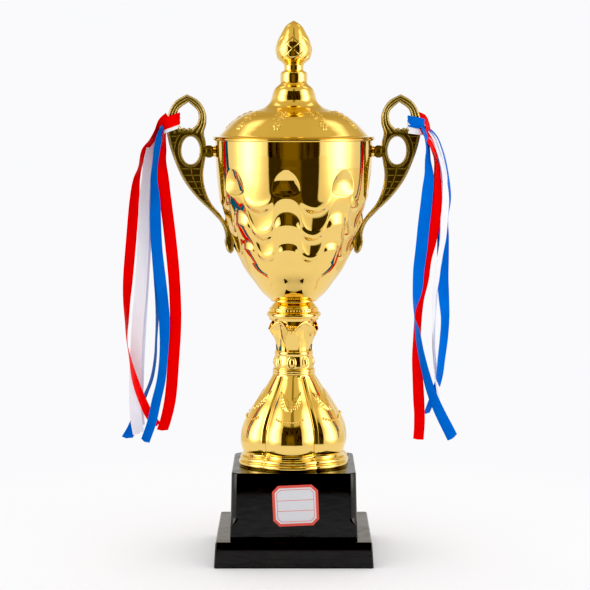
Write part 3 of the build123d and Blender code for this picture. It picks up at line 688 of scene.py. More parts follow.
def lobe_relief(turn, radius, height):
    """Lobes, their creases and the leaves pressed into each lobe."""
    t = turn / (LOBE_STEP / 2)
    lobed = 1 - smooth_step(height, 74.5, 77.0)
    edge = (LOBE_STEP / 2 - np.abs(turn)) * math.pi / 180 * radius
    crease = -0.5 * np.exp(-(edge / 1.0) ** 2) + 0.22 * np.exp(-((edge - 2.3) / 0.9) ** 2)
    across = np.radians(turn) * radius
    garland = np.zeros_like(across)
    for side in (-1, 1):
        lean = math.radians(27)
        x = across * side - 1.2
        z = height - 49.0
        along = x * math.sin(lean) + z * math.cos(lean)
        off = x * math.cos(lean) - z * math.sin(lean)
        garland = np.maximum(garland, leaf(off, along, 16.5, 3.2))
    arc = 50.0 - 0.10 * across ** 2
    garland = garland + 0.25 * np.exp(-((height - arc) / 0.35) ** 2) * (np.abs(across) < 3.5)
    groove = smooth_step(height, 11.0, 13.0)
    valley = FOOT_VALLEY_DEPTH + (BULB_VALLEY_DEPTH - FOOT_VALLEY_DEPTH) * smooth_step(height, 9.0, 13.0)
    return lobed * (-valley * t ** 2 * radius + groove * crease + 0.8 * garland)


def neck_relief(turn, radius, height):
    """Cabochons, each in a thin ring, round the beaded neck."""
    across = np.radians(turn) * 16.0
    rise = height - CABOCHON_HEIGHT
    stone = 1.1 * egg(across / 2.1, rise / 3.8, 0.6)
    ring = 0.35 * np.exp(-((np.hypot(across / 3.1, rise / 4.9) - 1) / 0.14) ** 2)
    inside_neck = smooth_step(height, 82.0, 83.0) * smooth_step(-height, -93.0, -92.0)
    return inside_neck * (stone + ring)


def line_at(line, height):
    """Radius of a line of (radius, height) points at a height."""
    return np.interp(height, [point[1] for point in line], [point[0] for point in line])


def panel_half(height):
    """Half the angle that the bare panel between two petals takes up at a height."""
    return np.interp(height, *zip(*PANEL_HALF))


def flare_relief(turn, radius, height):
    """Sinks the flare behind the petals, whose creases lie deeper than the panels between them."""
    open_half = panel_half(height)
    share = np.clip((np.abs(turn) - open_half) / (PETAL_STEP / 2 - open_half), 0, 1)
    behind = np.minimum(radius, line_at(PETAL_CREASE, height) - PETAL_WALL - PETAL_GAP)
    on_flare = (height > STEM_FLARE[1][1]) * (radius > FLARE_INSIDE)
    return on_flare * share * (behind - radius)


def stem_relief(angle, radius, height):
    """Lobes and leaves up to the neck, then cabochons and the flare behind the petals."""
    low = height < STEM_BULB[-1][1]
    lobes = lobe_relief(wrap_angle(angle - LOBE_START, LOBE_STEP), radius, height)
    cabochons = neck_relief(wrap_angle(angle - NECK_START, CABOCHON_STEP), radius, height)
    flare = flare_relief(wrap_angle(angle - NECK_START, PETAL_STEP), radius, height)
    return np.where(low, lobes, cabochons + flare)


def lobed_radius(radius, turn):
    """Radius of the bulb at an angle from the middle of a lobe."""
    return radius * (1 - BULB_VALLEY_DEPTH * (turn / (LOBE_STEP / 2)) ** 2)


def petal(middle, base):
    """One upright petal: two flat faces that meet in a sunken crease, with a rounded rim along the top."""
    levels = np.concatenate([np.linspace(0, 0.87, 22), np.linspace(0.89, 1, 14)])
    across = np.linspace(-1, 1, 41)
    share = np.abs(across)
    sheets = []
    for depth in (0.0, PETAL_WALL):
        for level in levels:
            side_height = PETAL_FOOT + level * (PETAL_NOTCH - PETAL_FOOT)
            middle_height = PETAL_FOOT + level * (PETAL_PEAK - PETAL_FOOT)
            height = side_height + (middle_height - side_height) * (1 - share ** 1.7)
            half = math.radians(PETAL_STEP / 2 - panel_half(side_height))
            edge = line_at(PETAL_EDGE, side_height)
            outward = line_at(PETAL_CREASE, middle_height) * (1 - share) + edge * math.cos(half) * share
            sideways = edge * math.sin(half) * across
            rim = PETAL_RIM * math.sqrt(max(0.0, 1 - ((level - 0.95) / 0.05) ** 2))
            sheets.append(ring_points(np.hypot(outward, sideways) + rim - depth, height,
                                      middle + np.degrees(np.arctan2(sideways, outward))) + base)
    faces = sheet_faces(len(levels), len(across))
    return make_object("stem_petal", np.vstack(sheets), faces, [gold_plated], 40)


def garland_beads(base):
    """One sagging row of beads on every lobe, with two bigger ones at each end."""
    centres = []
    radii = []
    bulb = np.array(STEM_BULB)
    for lobe in range(LOBES):
        middle = LOBE_START + lobe * LOBE_STEP
        for place in np.linspace(-1, 1, 12):
            turn = BEAD_ROW_HALF * place
            height = 40.6 + 2.2 * abs(place) ** 3
            size = 1.2 if abs(place) > 0.75 else 0.85
            radius = lobed_radius(np.interp(height, bulb[:, 1], bulb[:, 0]), turn) + 0.2
            centres.append(ring_points(radius, height, [middle + turn])[0] + base)
            radii.append(size)
    for height, radius, size in NOTCH_BEADS:
        notches = NECK_START + PETAL_STEP * np.arange(PETALS)
        centres += list(ring_points(radius, height, notches) + base)
        radii += [size] * PETALS
    return beads(centres, radii)


def build_stem():
    """The stem with its garland beads and petals."""
    base = node_base("stem")
    stem = lathe("stem_lobed", stem_profile(), 840, [gold_plated], base, stem_relief, loop=False, sharp=60,
                 start=LOBE_START)
    row = make_object("garland_beads", *garland_beads(base), [gold_plated])
    petals = [petal(NECK_START + (place + 0.5) * PETAL_STEP, base) for place in range(PETALS)]
    join_pieces(stem, [row, *petals])
    settle(stem, "trophy", ["stem"])


# ---- Collar and seat ----------------------------------------------------------------------
COLLAR = [(ROD_HOLE, 0.0, 0), (20.8, 0.0, 0.2), (21.0, 1.2, 0.4), (21.5, 2.4, 0.5), (22.9, 3.8, 0.7),
          (22.9, 5.4, 0.7), (21.8, 6.8, 0.5), (20.8, 7.2, 0.3), (20.2, 7.6, 0.3), (20.1, 10.2, 0.4),
          (19.3, 10.8, 0.4), (18.8, 11.8, 0.8), (17.3, 13.5, 1.2), (15.9, 14.7, 0.8), (15.7, 15.7, 0.2),
          (ROD_HOLE, 15.7, 0)]
COLLAR_BEADS = 52
COLLAR_BEAD_RADIUS = 0.75
COLLAR_BEAD_RING = (20.15, 8.9)
SEAT = [(ROD_HOLE, 0.0, 0), (18.9, 0.0, 0.2), (19.5, 0.4, 0.3), (19.5, 1.3, 0.3), (ROD_HOLE, 1.3, 0)]


def build_collar():
    """The beaded collar above the petals and the seat under the cup."""
    base = node_base("neck_collar")
    collar = lathe("collar_beaded", rounded_line(COLLAR, 0.5), 240, [gold_plated], base)
    angles = np.arange(COLLAR_BEADS) * 360.0 / COLLAR_BEADS
    centres = ring_points(*COLLAR_BEAD_RING, angles) + base
    row = make_object("collar_bead_row", *beads(centres, [COLLAR_BEAD_RADIUS] * COLLAR_BEADS), [gold_plated])
    join_pieces(collar, [row])
    settle(collar, "trophy", ["neck_collar"])
    washer = lathe("cup_seat_dished", rounded_line(SEAT, 0.6), 180, [gold_metal], node_base("cup_seat"))
    settle(washer, "trophy", ["cup_seat"])


# ---- Plinth -------------------------------------------------------------------------------
CORNER_CUT = 3.2
CORNER_STOP = 40.0
SCOOP_RADIUS = 9.0
SMALL_CUT = 1.0
PLINTH_LEAN = 1.3


def corner_reach(height, cut):
    """How far along each side an upright corner is cut away at a height."""
    if not cut:
        return SMALL_CUT
    below = CORNER_STOP - height
    if below <= 0:
        depth = CORNER_CUT
    elif below < SCOOP_RADIUS:
        depth = CORNER_CUT - (SCOOP_RADIUS - math.sqrt(SCOOP_RADIUS ** 2 - below ** 2))
    else:
        depth = 0.0
    return max(SMALL_CUT, depth * math.sqrt(2))


def square_outline(half, reach):
    """Square with flattened corners, its edges slightly rounded; always the same number of points."""
    straight = half - reach
    soft = 0.32 * reach * math.sqrt(2)
    points = []
    for quarter in range(4):
        turn = math.pi / 2 * quarter
        across = np.array([math.cos(turn), math.sin(turn)])
        along = np.array([-math.sin(turn), math.cos(turn)])
        first = half * across + straight * along
        last = straight * across + half * along
        for place in (-1.0, -0.995, -0.5, 0.0, 0.5, 0.995, 1.0):
            reach_here = place * (straight - soft)
            points.append(half * across + reach_here * along)
        slant = (last - first) / np.linalg.norm(last - first)
        for t in (0.34, 0.67, 1.0):
            points.append((1 - t) ** 2 * (first - soft * along) + 2 * t * (1 - t) * first
                          + t * t * (first + soft * slant))
        for t in (0.0, 0.33, 0.66):
            points.append((1 - t) ** 2 * (last - soft * slant) + 2 * t * (1 - t) * last
                          + t * t * (last - soft * across))
    return points


def square_block(name, half_bottom, half_top, low, high, edge, cut):
    """Upright block with leaning sides, soft edges and an eased top."""
    levels = {low + 0.6, *np.linspace(low + 0.9, high - edge, 4)}
    if cut:
        levels |= set(np.linspace(CORNER_STOP - SCOOP_RADIUS, CORNER_STOP, 19))
    rows = [(low, half_bottom - 0.5)]
    rows += [(level, half_bottom + (half_top - half_bottom) * (level - low) / (high - low))
             for level in sorted(levels)]
    for turn in np.radians(np.linspace(15, 90, 6)):
        rows.append((high - edge * (1 - math.sin(turn)), half_top - edge * (1 - math.cos(turn))))
    rows += [(high, half_top - edge - 0.4), (high, half_top * 0.6)]
    vertices = []
    faces = []
    for height, half in rows:
        outline = square_outline(half, corner_reach(height, cut) * (half / half_bottom))
        vertices += [(x, y, height) for x, y in outline]
    count = len(vertices) // len(rows)
    for row in range(len(rows) - 1):
        faces += ring_faces(row * count, (row + 1) * count, count)
    faces.append(tuple(range(count))[::-1])
    faces.append(tuple(range((len(rows) - 1) * count, len(rows) * count)))
    return make_object(name, vertices, faces, [plastic], sharp=30)


def build_plinth():
    """The plinth's two steps; only the upper one has scooped corners."""
    for node, edge, cut in (("plinth_lower", 1.5, False), ("plinth_upper", 1.0, True)):
        low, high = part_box(node)
        half = high.x / MM
        step = square_block(node + "_step", half, half - PLINTH_LEAN, low.z / MM, high.z / MM, edge, cut)
        settle(step, "trophy", [node])


# ---- Label --------------------------------------------------------------------------------
LABEL_SIZE = (38.0, 34.0)
LABEL_CUT = 5.0
LABEL_TILT = 2.5
LABEL_INSETS = (0.0, 2.2, 3.5, 3.95)
LABEL_FACE = 0.1


def cut_rectangle(width, height, cut):
    """Corners of a rectangle whose own corners are cut off."""
    x, z = width / 2, height / 2
    return [(-x + cut, -z), (x - cut, -z), (x, -z + cut), (x, z - cut), (x - cut, z), (-x + cut, z),
            (-x, z - cut), (-x, -z + cut)]


def build_label():
    """Blank price sticker: red border, thin red frame and two ruled lines on white."""
    red = printed_paper("label_red", (0.70, 0.075, 0.05), (0.76, 0.095, 0.07))
    white = printed_paper("label_white", (0.64, 0.64, 0.67), (0.70, 0.70, 0.73))
    low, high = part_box("price_label")
    centre = (low + high) / 2 / MM
    lean = math.atan2((high.y - low.y) / MM - 0.2, LABEL_SIZE[1])
    vertices = []
    faces = []
    for inset in LABEL_INSETS:
        ring = cut_rectangle(LABEL_SIZE[0] - 2 * inset, LABEL_SIZE[1] - 2 * inset, LABEL_CUT - 0.55 * inset)
        vertices += [(x, -LABEL_FACE, z) for x, z in ring]
    inner = 8 * (len(LABEL_INSETS) - 1)
    for layer in range(0, inner, 8):
        faces += ring_faces(layer, layer + 8, 8)
    rows = [-4.6, -4.15, 4.15, 4.6]
    x = LABEL_SIZE[0] / 2 - LABEL_INSETS[-1]
    first = len(vertices)
    vertices += [(side * x, -LABEL_FACE, z) for z in rows for side in (-1, 1)]
    faces += [(inner, inner + 1, inner + 2, first + 1, first, inner + 7),
              (first, first + 1, first + 3, first + 2),
              (first + 2, first + 3, first + 5, first + 4),
              (first + 4, first + 5, first + 7, first + 6),
              (first + 6, first + 7, inner + 3, inner + 4, inner + 5, inner + 6)]
    inks = [0] * 8 + [1] * 8 + [0] * 8 + [1, 0, 1, 0, 1]
    back = len(vertices)
    vertices += [(x, LABEL_FACE, z) for x, z in cut_rectangle(*LABEL_SIZE, LABEL_CUT)]
    for side in range(8):
        after = (side + 1) % 8
        faces.append((side, back + side, back + after, after))
    faces.append(tuple(range(back, back + 8))[::-1])
    inks += [0] * 8 + [1]
    tilt = math.radians(LABEL_TILT)
    turned = []
    for x, y, z in vertices:
        across = x * math.cos(tilt) - z * math.sin(tilt)
        up = x * math.sin(tilt) + z * math.cos(tilt)
        turned.append((centre.x + across, centre.y + y * math.cos(lean) + up * math.sin(lean),
                       centre.z + up * math.cos(lean)))
    label = make_object("label_blank", turned, faces, [red, white])
    for face, ink in zip(label.data.polygons, inks):
        face.material_index = ink
        face.use_smooth = False
    settle(label, "trophy", ["price_label"])


# ---- Handles ------------------------------------------------------------------------------
HANDLE_OUTER = [(22.2, 47.8), (31.3, 42.4), (37.1, 33.6), (39.5, 21.0), (37.9, 9.0), (33.1, -6.6),
                (25.5, -23.6), (14.7, -38.2), (2.1, -50.6), (-6.3, -60.2), (-9.3, -69.0), (-8.9, -76.4)]
HANDLE_TIP = [(-8.9, -76.4), (-11.1, -83.2), (-14.3, -85.8), (-16.5, -83.6)]
HANDLE_INNER = [(-16.5, -83.6), (-16.7, -76.0), (-13.7, -66.0), (-6.3, -54.0), (1.9, -44.0), (7.1, -32.0),
                (8.9, -19.2), (7.5, -8.6), (6.1, 0.0), (6.7, 8.0), (8.1, 15.6), (6.1, 23.6), (6.7, 32.8),
                (12.3, 42.2), (22.2, 47.8)]
RING_ARCH = [(18.3, 18.8), (13.5, 23.6), (12.9, 33.0), (20.9, 41.4)]
RING_BACK = [(20.9, 41.4), (29.3, 34.8), (30.7, 25.6), (26.7, 18.9)]
RING_SILL = [(26.7, 18.9), (24.6, 19.9), (22.5, 18.6), (20.4, 19.9), (18.3, 18.8)]
OVAL_CENTRE = (19.3, 0.9)
OVAL_RADII = (7.8, 11.6)
HANDLE_HALF = 2.5
HANDLE_CELL = 0.36
RUNG_FIRST = -14.3
RUNG_PITCH = 5.43
BOSS_KNOB = [(0.1, 0.0, 0), (3.9, 0.0, 0.3), (4.2, 0.9, 0.3), (5.2, 2.3, 0.6), (5.2, 5.3, 0.6),
             (4.3, 6.5, 0.4), (4.3, 9.5, 0.2), (0.1, 9.5, 0)]
# The boss counts as too low for the painted highlight, so it stays dark bronze.
BOSS_HIGHLIGHT_LEVEL = 0.45


def distance_to_line(points, line):
    """Shortest distance from each point to a run of segments."""
    best = np.full(len(points), 1e9)
    for first, last in zip(line, line[1:]):
        run = last - first
        along = np.clip(((points - first) @ run) / max(run @ run, 1e-9), 0, 1)
        best = np.minimum(best, np.linalg.norm(points - first - along[:, None] * run, axis=1))
    return best


def inside_loop(points, line):
    """Whether each point lies within a closed run of segments."""
    crossings = np.zeros(len(points), int)
    for (x0, z0), (x1, z1) in zip(line, line[1:]):
        spans = (z0 > points[:, 1]) != (z1 > points[:, 1])
        cross_x = x0 + (points[:, 1] - z0) / (z1 - z0 if z1 != z0 else 1e-9) * (x1 - x0)
        crossings += spans & (points[:, 0] < cross_x)
    return crossings % 2 == 1


def blurred(grid, cells):
    """Grid smoothed by a bell-shaped window a few cells wide."""
    window = np.exp(-(np.arange(-2 * cells, 2 * cells + 1) / cells) ** 2)
    window /= window.sum()
    for axis in (0, 1):
        grid = np.apply_along_axis(lambda row: np.convolve(row, window, "same"), axis, grid)
    return grid


def handle_fields():
    """Grid of the handle's side view: depth inside the edge, and the thickness over it."""
    outer = curve_through(HANDLE_OUTER, 1.2)
    tip = curve_through(HANDLE_TIP, 0.8)
    inner = curve_through(HANDLE_INNER, 1.2)
    outline = np.vstack([outer, tip[1:], inner[1:]])
    hole = np.vstack([curve_through(RING_ARCH, 0.8), curve_through(RING_BACK, 0.8)[1:],
                      curve_through(RING_SILL, 0.5)[1:]])
    turns = np.linspace(0, 2 * math.pi, 60)
    oval = np.stack([OVAL_CENTRE[0] + OVAL_RADII[0] * np.cos(turns),
                     OVAL_CENTRE[1] + OVAL_RADII[1] * np.sin(turns)], 1)
    xs = np.arange(-19.0, 42.0, HANDLE_CELL)
    zs = np.arange(-88.0, 50.5, HANDLE_CELL)
    points = np.stack(np.meshgrid(xs, zs, indexing="ij"), -1).reshape(-1, 2)
    to_outline = distance_to_line(points, outline) * np.where(inside_loop(points, outline), 1, -1)
    to_hole = distance_to_line(points, hole) * np.where(inside_loop(points, hole), -1, 1)
    to_oval = distance_to_line(points, oval) * np.where(inside_loop(points, oval), -1, 1)
    depth = np.minimum(np.minimum(to_outline, to_hole), to_oval)
    outside = distance_to_line(points, np.vstack([outer, tip[1:2]]))
    inward = distance_to_line(points, np.vstack([tip[-2:-1], inner]))
    x, z = points.T
    thickness = handle_thickness(x, z, depth, to_outline, to_hole, to_oval, outside, inward)
    shape = (len(xs), len(zs))
    return xs, zs, depth.reshape(shape), thickness.reshape(shape)


def handle_thickness(x, z, depth, to_outline, to_hole, to_oval, outside, inward):
    """Half thickness with its mouldings: rims, the ring's ridges and the net of thin lines."""
    rounding = 1 - np.clip(1 - depth / 0.8, 0, 1) ** 2
    height = HANDLE_HALF - 1.5 + 1.3 * np.sqrt(np.clip(rounding, 0, 1))
    in_ring = smooth_step(z, 13.0, 17.0)
    share = to_outline / np.maximum(to_outline + to_hole, 1e-6)
    ridges = 0.34 * (1 - np.cos(2 * math.pi * 3 * np.clip(share, 0, 1))) - 0.25
    height += in_ring * ridges * (to_hole < 14)
    lines = np.exp(-((to_outline - 1.9) / 0.42) ** 2)
    lines = np.maximum(lines, np.exp(-((to_oval - 2.2) / 0.45) ** 2))
    across = inward / np.maximum(inward + outside, 1e-6)
    width = inward + outside
    middle = (across - 0.5) * width
    in_cells = smooth_step(-z, 12.5, 13.5) * smooth_step(z, -50.0, -49.0)
    rungs = np.abs(wrap_angle(z - RUNG_FIRST, RUNG_PITCH))
    cells = np.maximum(np.exp(-(rungs / 0.4) ** 2), np.exp(-(middle / 0.4) ** 2) * (width > 9.0))
    lines = np.maximum(lines, in_cells * cells)
    in_wing = (x > OVAL_CENTRE[0]) * (z < 14.0) * (z > -13.5)
    arc = np.exp(-((to_oval - 5.6) / 0.4) ** 2) + np.exp(-(rungs / 0.4) ** 2) * (to_oval > 5.6)
    lines = np.maximum(lines, in_wing * np.clip(arc, 0, 1))
    height += (1 - in_ring) * 0.34 * lines * smooth_step(depth, 0.4, 1.0)
    in_stalk = smooth_step(-z, 50.0, 52.0)
    height += in_stalk * 0.16 * np.cos(2 * math.pi * 2 * across) * smooth_step(depth, 0.5, 1.5)
    return np.clip(height, 0.7, HANDLE_HALF + 0.45)


def plate_mesh(xs, zs, depth, thickness):
    """Two-sided plate cut along the line where depth is zero, with the relief value of each point."""
    # How far each point stands above its surroundings; the bronze finish paints its highlight where this is
    # high.
    relief = np.clip(0.5 + 1.5 * (thickness - blurred(thickness, 4)), 0, 1)
    inside = depth > 0
    vertices = []
    values = []
    index = {}

    def corner(i, j):
        key = (i, j)
        if key not in index:
            index[key] = len(vertices)
            vertices.append((xs[i], thickness[i, j], zs[j]))
            values.append(relief[i, j])
        return index[key]

    def crossing(a, b):
        key = (a, b) if a < b else (b, a)
        if key not in index:
            (i0, j0), (i1, j1) = key
            t = depth[i0, j0] / (depth[i0, j0] - depth[i1, j1])
            index[key] = len(vertices)
            vertices.append((xs[i0] + t * (xs[i1] - xs[i0]), 0.95, zs[j0] + t * (zs[j1] - zs[j0])))
            values.append(0.4)
        return index[key]

    caps = []
    edges = []
    for i in range(len(xs) - 1):
        for j in range(len(zs) - 1):
            ring = [(i, j), (i + 1, j), (i + 1, j + 1), (i, j + 1)]
            states = [inside[item] for item in ring]
            if not any(states):
                continue
            if all(states):
                caps.append([corner(*item) for item in ring])
                continue
            loop = []
            cuts = []
            for place in range(4):
                here, after = ring[place], ring[(place + 1) % 4]
                if states[place]:
                    loop.append(corner(*here))
                if states[place] != states[(place + 1) % 4]:
                    cut = crossing(here, after)
                    loop.append(cut)
                    cuts.append((cut, states[place]))
            if len(cuts) != 2:
                continue
            caps.append(loop)
            leaving = [cut for cut, was_in in cuts if was_in][0]
            entering = [cut for cut, was_in in cuts if not was_in][0]
            edges.append((leaving, entering))
    count = len(vertices)
    back = [(x, -y, z) for x, y, z in vertices]
    faces = [loop[::-1] for loop in caps]
    faces += [[item + count for item in loop] for loop in caps]
    faces += [[first, last, last + count, first + count] for first, last in edges]
    return vertices + back, [tuple(face) for face in faces], values + values


def set_relief(piece, values):
    """Store how raised each point is, from which the bronze finish paints highlights on the most raised
    lines.
    """
    attribute = piece.data.attributes.new("relief", "FLOAT", "POINT")
    attribute.data.foreach_set("value", np.array(values, np.float32))


def build_handles():
    """The two scroll handles, each with the boss that meets the cup."""
    vertices, faces, values = plate_mesh(*handle_fields())
    knob = rounded_line(BOSS_KNOB, 0.5)
    for side, word in ((1, "right"), (-1, "left")):
        name = "handle_scroll_" + word
        low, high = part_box("handle_spacers")
        origin = np.array([side * high.x, 0.0, (low.z + high.z) / 2]) / MM
        placed = [(origin[0] + side * x, y, origin[2] + z) for x, y, z in vertices]
        wound = [face if side > 0 else face[::-1] for face in faces]
        plate = make_object(name, placed, wound, [bronze], sharp=60)
        set_relief(plate, values)
        boss = lathe(name + "_boss", knob, 40, [bronze], loop=False)
        set_relief(boss, [BOSS_HIGHLIGHT_LEVEL] * len(boss.data.vertices))
        for vertex in boss.data.vertices:
            x, y, z = vertex.co / MM
            vertex.co = Vector((origin[0] + side * z, y, origin[2] - side * x)) * MM
        join_pieces(plate, [boss])
        settle(plate, "trophy", ["handle_" + word])


# ---- Ribbons ------------------------------------------------------------------------------
TAPE_WIDTH = 10.0
TAPE_THICKNESS = 0.22
TAPE_COLUMNS = 9


def strip(path, width, slant, curl):
    """Closed thin strip along (x, z, twist, y) points; twist is degrees from facing the front."""
    path = np.asarray(path, float)
    line = curve_through(path, 1.5)
    place = line[:, [0, 3, 1]]
    run = np.gradient(place, axis=0)
    run /= np.linalg.norm(run, axis=1)[:, None]
    twist = np.radians(line[:, 2])[:, None]
    level = np.stack([-run[:, 2], np.zeros(len(run)), run[:, 0]], 1)
    level /= np.linalg.norm(level, axis=1)[:, None]
    depth = np.cross(level, run)
    across = np.cos(twist) * level + np.sin(twist) * depth
    facing = np.cross(across, run)
    length = np.concatenate([[0], np.cumsum(np.linalg.norm(np.diff(place, axis=0), axis=1))])
    offsets = np.linspace(-1, 1, TAPE_COLUMNS)
    rows = len(place)
    sheet = np.zeros((2, rows, TAPE_COLUMNS, 3))
    chart = np.zeros((rows, TAPE_COLUMNS, 2))
    for column, offset in enumerate(offsets):
        bow = curl * (1 - offset ** 2)
        own = length * (1 + slant * offset / length[-1])
        for axis in range(3):
            centre = np.interp(own, length, place[:, axis])
            side = np.interp(own, length, across[:, axis])
            normal = np.interp(own, length, facing[:, axis])
            middle = centre + side * offset * width / 2 + normal * bow
            sheet[0, :, column, axis] = middle + normal * TAPE_THICKNESS / 2
            sheet[1, :, column, axis] = middle - normal * TAPE_THICKNESS / 2
        chart[:, column, 0] = (offset + 1) / 2
        chart[:, column, 1] = own
    return sheet, chart, length[-1]


def strip_mesh(sheet, chart, closed=False):
    """Vertices, faces and tape coordinates of a two-sided strip."""
    rows, columns = sheet.shape[1:3]
    charts = np.concatenate([chart.reshape(-1, 2)] * 2)
    return sheet.reshape(-1, 3), sheet_faces(rows, columns, closed), charts


def hitch_band(side, centre, radii, height, tilt, width):
    """Band wrapped round the ring's outer arm, gathered a little across its width."""
    steps = 44
    offsets = np.linspace(-1, 1, TAPE_COLUMNS)
    sheet = np.zeros((2, steps, TAPE_COLUMNS, 3))
    chart = np.zeros((steps, TAPE_COLUMNS, 2))
    for step in range(steps):
        turn = 2 * math.pi * step / steps
        direction = np.array([math.cos(turn), math.sin(turn)])
        reach = (abs(direction[0]) ** 2.6 + abs(direction[1]) ** 2.6) ** (-1 / 2.6)
        for column, offset in enumerate(offsets):
            pleat = 0.22 * math.cos(3 * math.pi * offset + 2 * turn)
            for face, grow in ((0, TAPE_THICKNESS / 2), (1, -TAPE_THICKNESS / 2)):
                spot = direction * reach * (np.array(radii) + grow + pleat)
                drop = -tilt * spot[0]
                sheet[face, step, column] = (side * (centre + spot[0]), spot[1],
                                             height + drop + offset * width / 2)
            chart[step, column] = ((offset + 1) / 2, 30.0 * step / steps)
    return sheet, chart


def ribbon(side, colour, tails, band, material, hang):
    """One colour's ribbon on one handle: its band round the ring and its two tails."""
    all_vertices = []
    all_faces = []
    all_charts = []
    parts = []
    for path, slant, curl in tails:
        sheet, chart, length = strip(path, TAPE_WIDTH, slant, curl)
        parts.append(strip_mesh(sheet, chart))
    centre, radii, height, tilt, width = band
    sheet, chart = hitch_band(side, centre, radii, height, tilt, width)
    parts.append(strip_mesh(sheet, chart, closed=True))
    for vertices, faces, charts in parts:
        first = len(all_vertices)
        all_vertices += [tuple(vertex) for vertex in vertices]
        all_faces += [tuple(item + first for item in face) for face in faces]
        all_charts += [tuple(chart) for chart in charts]
    name = "ribbon_tape_%s_%s" % ("right" if side > 0 else "left", colour)
    piece = make_object(name, all_vertices, all_faces, [material], sharp=60)
    layer = piece.data.uv_layers.new(name="tape")
    for loop in piece.data.loops:
        layer.data[loop.index].uv = all_charts[loop.vertex_index]
    settle(piece, "trophy", [hang])
    return piece


LEFT_TAILS = {
    "red": [([(-105, 370, 40, -3), (-110, 366, 50, -4), (-114, 358, 62, -4), (-119, 350, 68, -3),
          (-125, 342, 64, -2), (-129, 328, 76, -1), (-132, 318, 60, 0), (-134, 301, 41, 0),
          (-137, 267, 34, 0), (-140, 233, 40, -1), (-141, 216, 57, -2), (-141, 199, 75, -3),
          (-141, 184, 90, -4), (-138, 165, 107, -5), (-134, 148, 128, -6), (-128, 131, 139, -6),
          (-122, 118, 145, -5), (-116, 109, 145, -3)], 1.5, 0.4),
        ([(-108, 362, 80, 2), (-109, 353, 74, 2), (-110, 343, 56, 1), (-111, 334, 45, 1),
          (-111, 326, 24, 1), (-110, 318, 0, 1), (-108, 301, 0, 0), (-104, 267, 0, 0), (-101, 233, 17, 0),
          (-100, 199, 17, 0), (-102, 165, 17, 0), (-105, 131, 17, 0), (-109, 113, 25, 0),
          (-112, 104, 25, 0)], -2.0, 0.5)],
    "white": [([(-109, 361, 60, 1), (-113, 357, 60, 1), (-118, 350, 55, 2), (-122, 334, 38, 3),
          (-124, 318, 41, 3), (-126, 301, 35, 3), (-127, 267, 20, 3), (-130, 220, 10, 3),
          (-132, 199, 10, 3), (-134, 165, 6, 2), (-135, 131, 5, 2), (-134, 113, 10, 2),
          (-132, 101, 15, 2)], -1.5, 0.5),
        ([(-109, 361, 60, 3), (-113, 356, 60, 3), (-117, 348, 55, 5), (-121, 332, 40, 6),
          (-123, 310, 35, 6), (-125, 270, 22, 6), (-128, 225, 14, 6), (-130, 195, 12, 6),
          (-132, 160, 10, 5), (-133, 130, 8, 5), (-132, 108, 12, 5)], 1.5, 0.4)],
    "blue": [([(-109, 362, 72, -5), (-111, 358, 70, -6), (-113, 350, 62, -7), (-116, 330, 65, -8),
          (-117, 318, 58, -8), (-116, 301, 41, -7), (-116, 284, 26, -7), (-115, 260, 26, -7),
          (-112, 233, 28, -7), (-110, 216, 33, -7), (-109, 199, 28, -7), (-109, 182, 41, -8),
          (-110, 165, 48, -9), (-112, 148, 45, -10), (-116, 131, 41, -11), (-120, 113, 41, -11),
          (-126, 96, 41, -10)], 2.5, 0.6),
        ([(-109, 362, 74, 6), (-112, 357, 70, 7), (-115, 345, 62, 9), (-117, 318, 50, 10),
          (-117, 267, 40, 10), (-115, 233, 42, 10), (-115, 216, 60, 9), (-116, 199, 78, 8),
          (-117, 182, 83, 8), (-118, 165, 80, 8), (-121, 148, 76, 8), (-126, 135, 73, 8),
          (-133, 120, 60, 8), (-138, 105, 35, 8), (-143, 96, 30, 8)], -3.0, 0.5)],
}
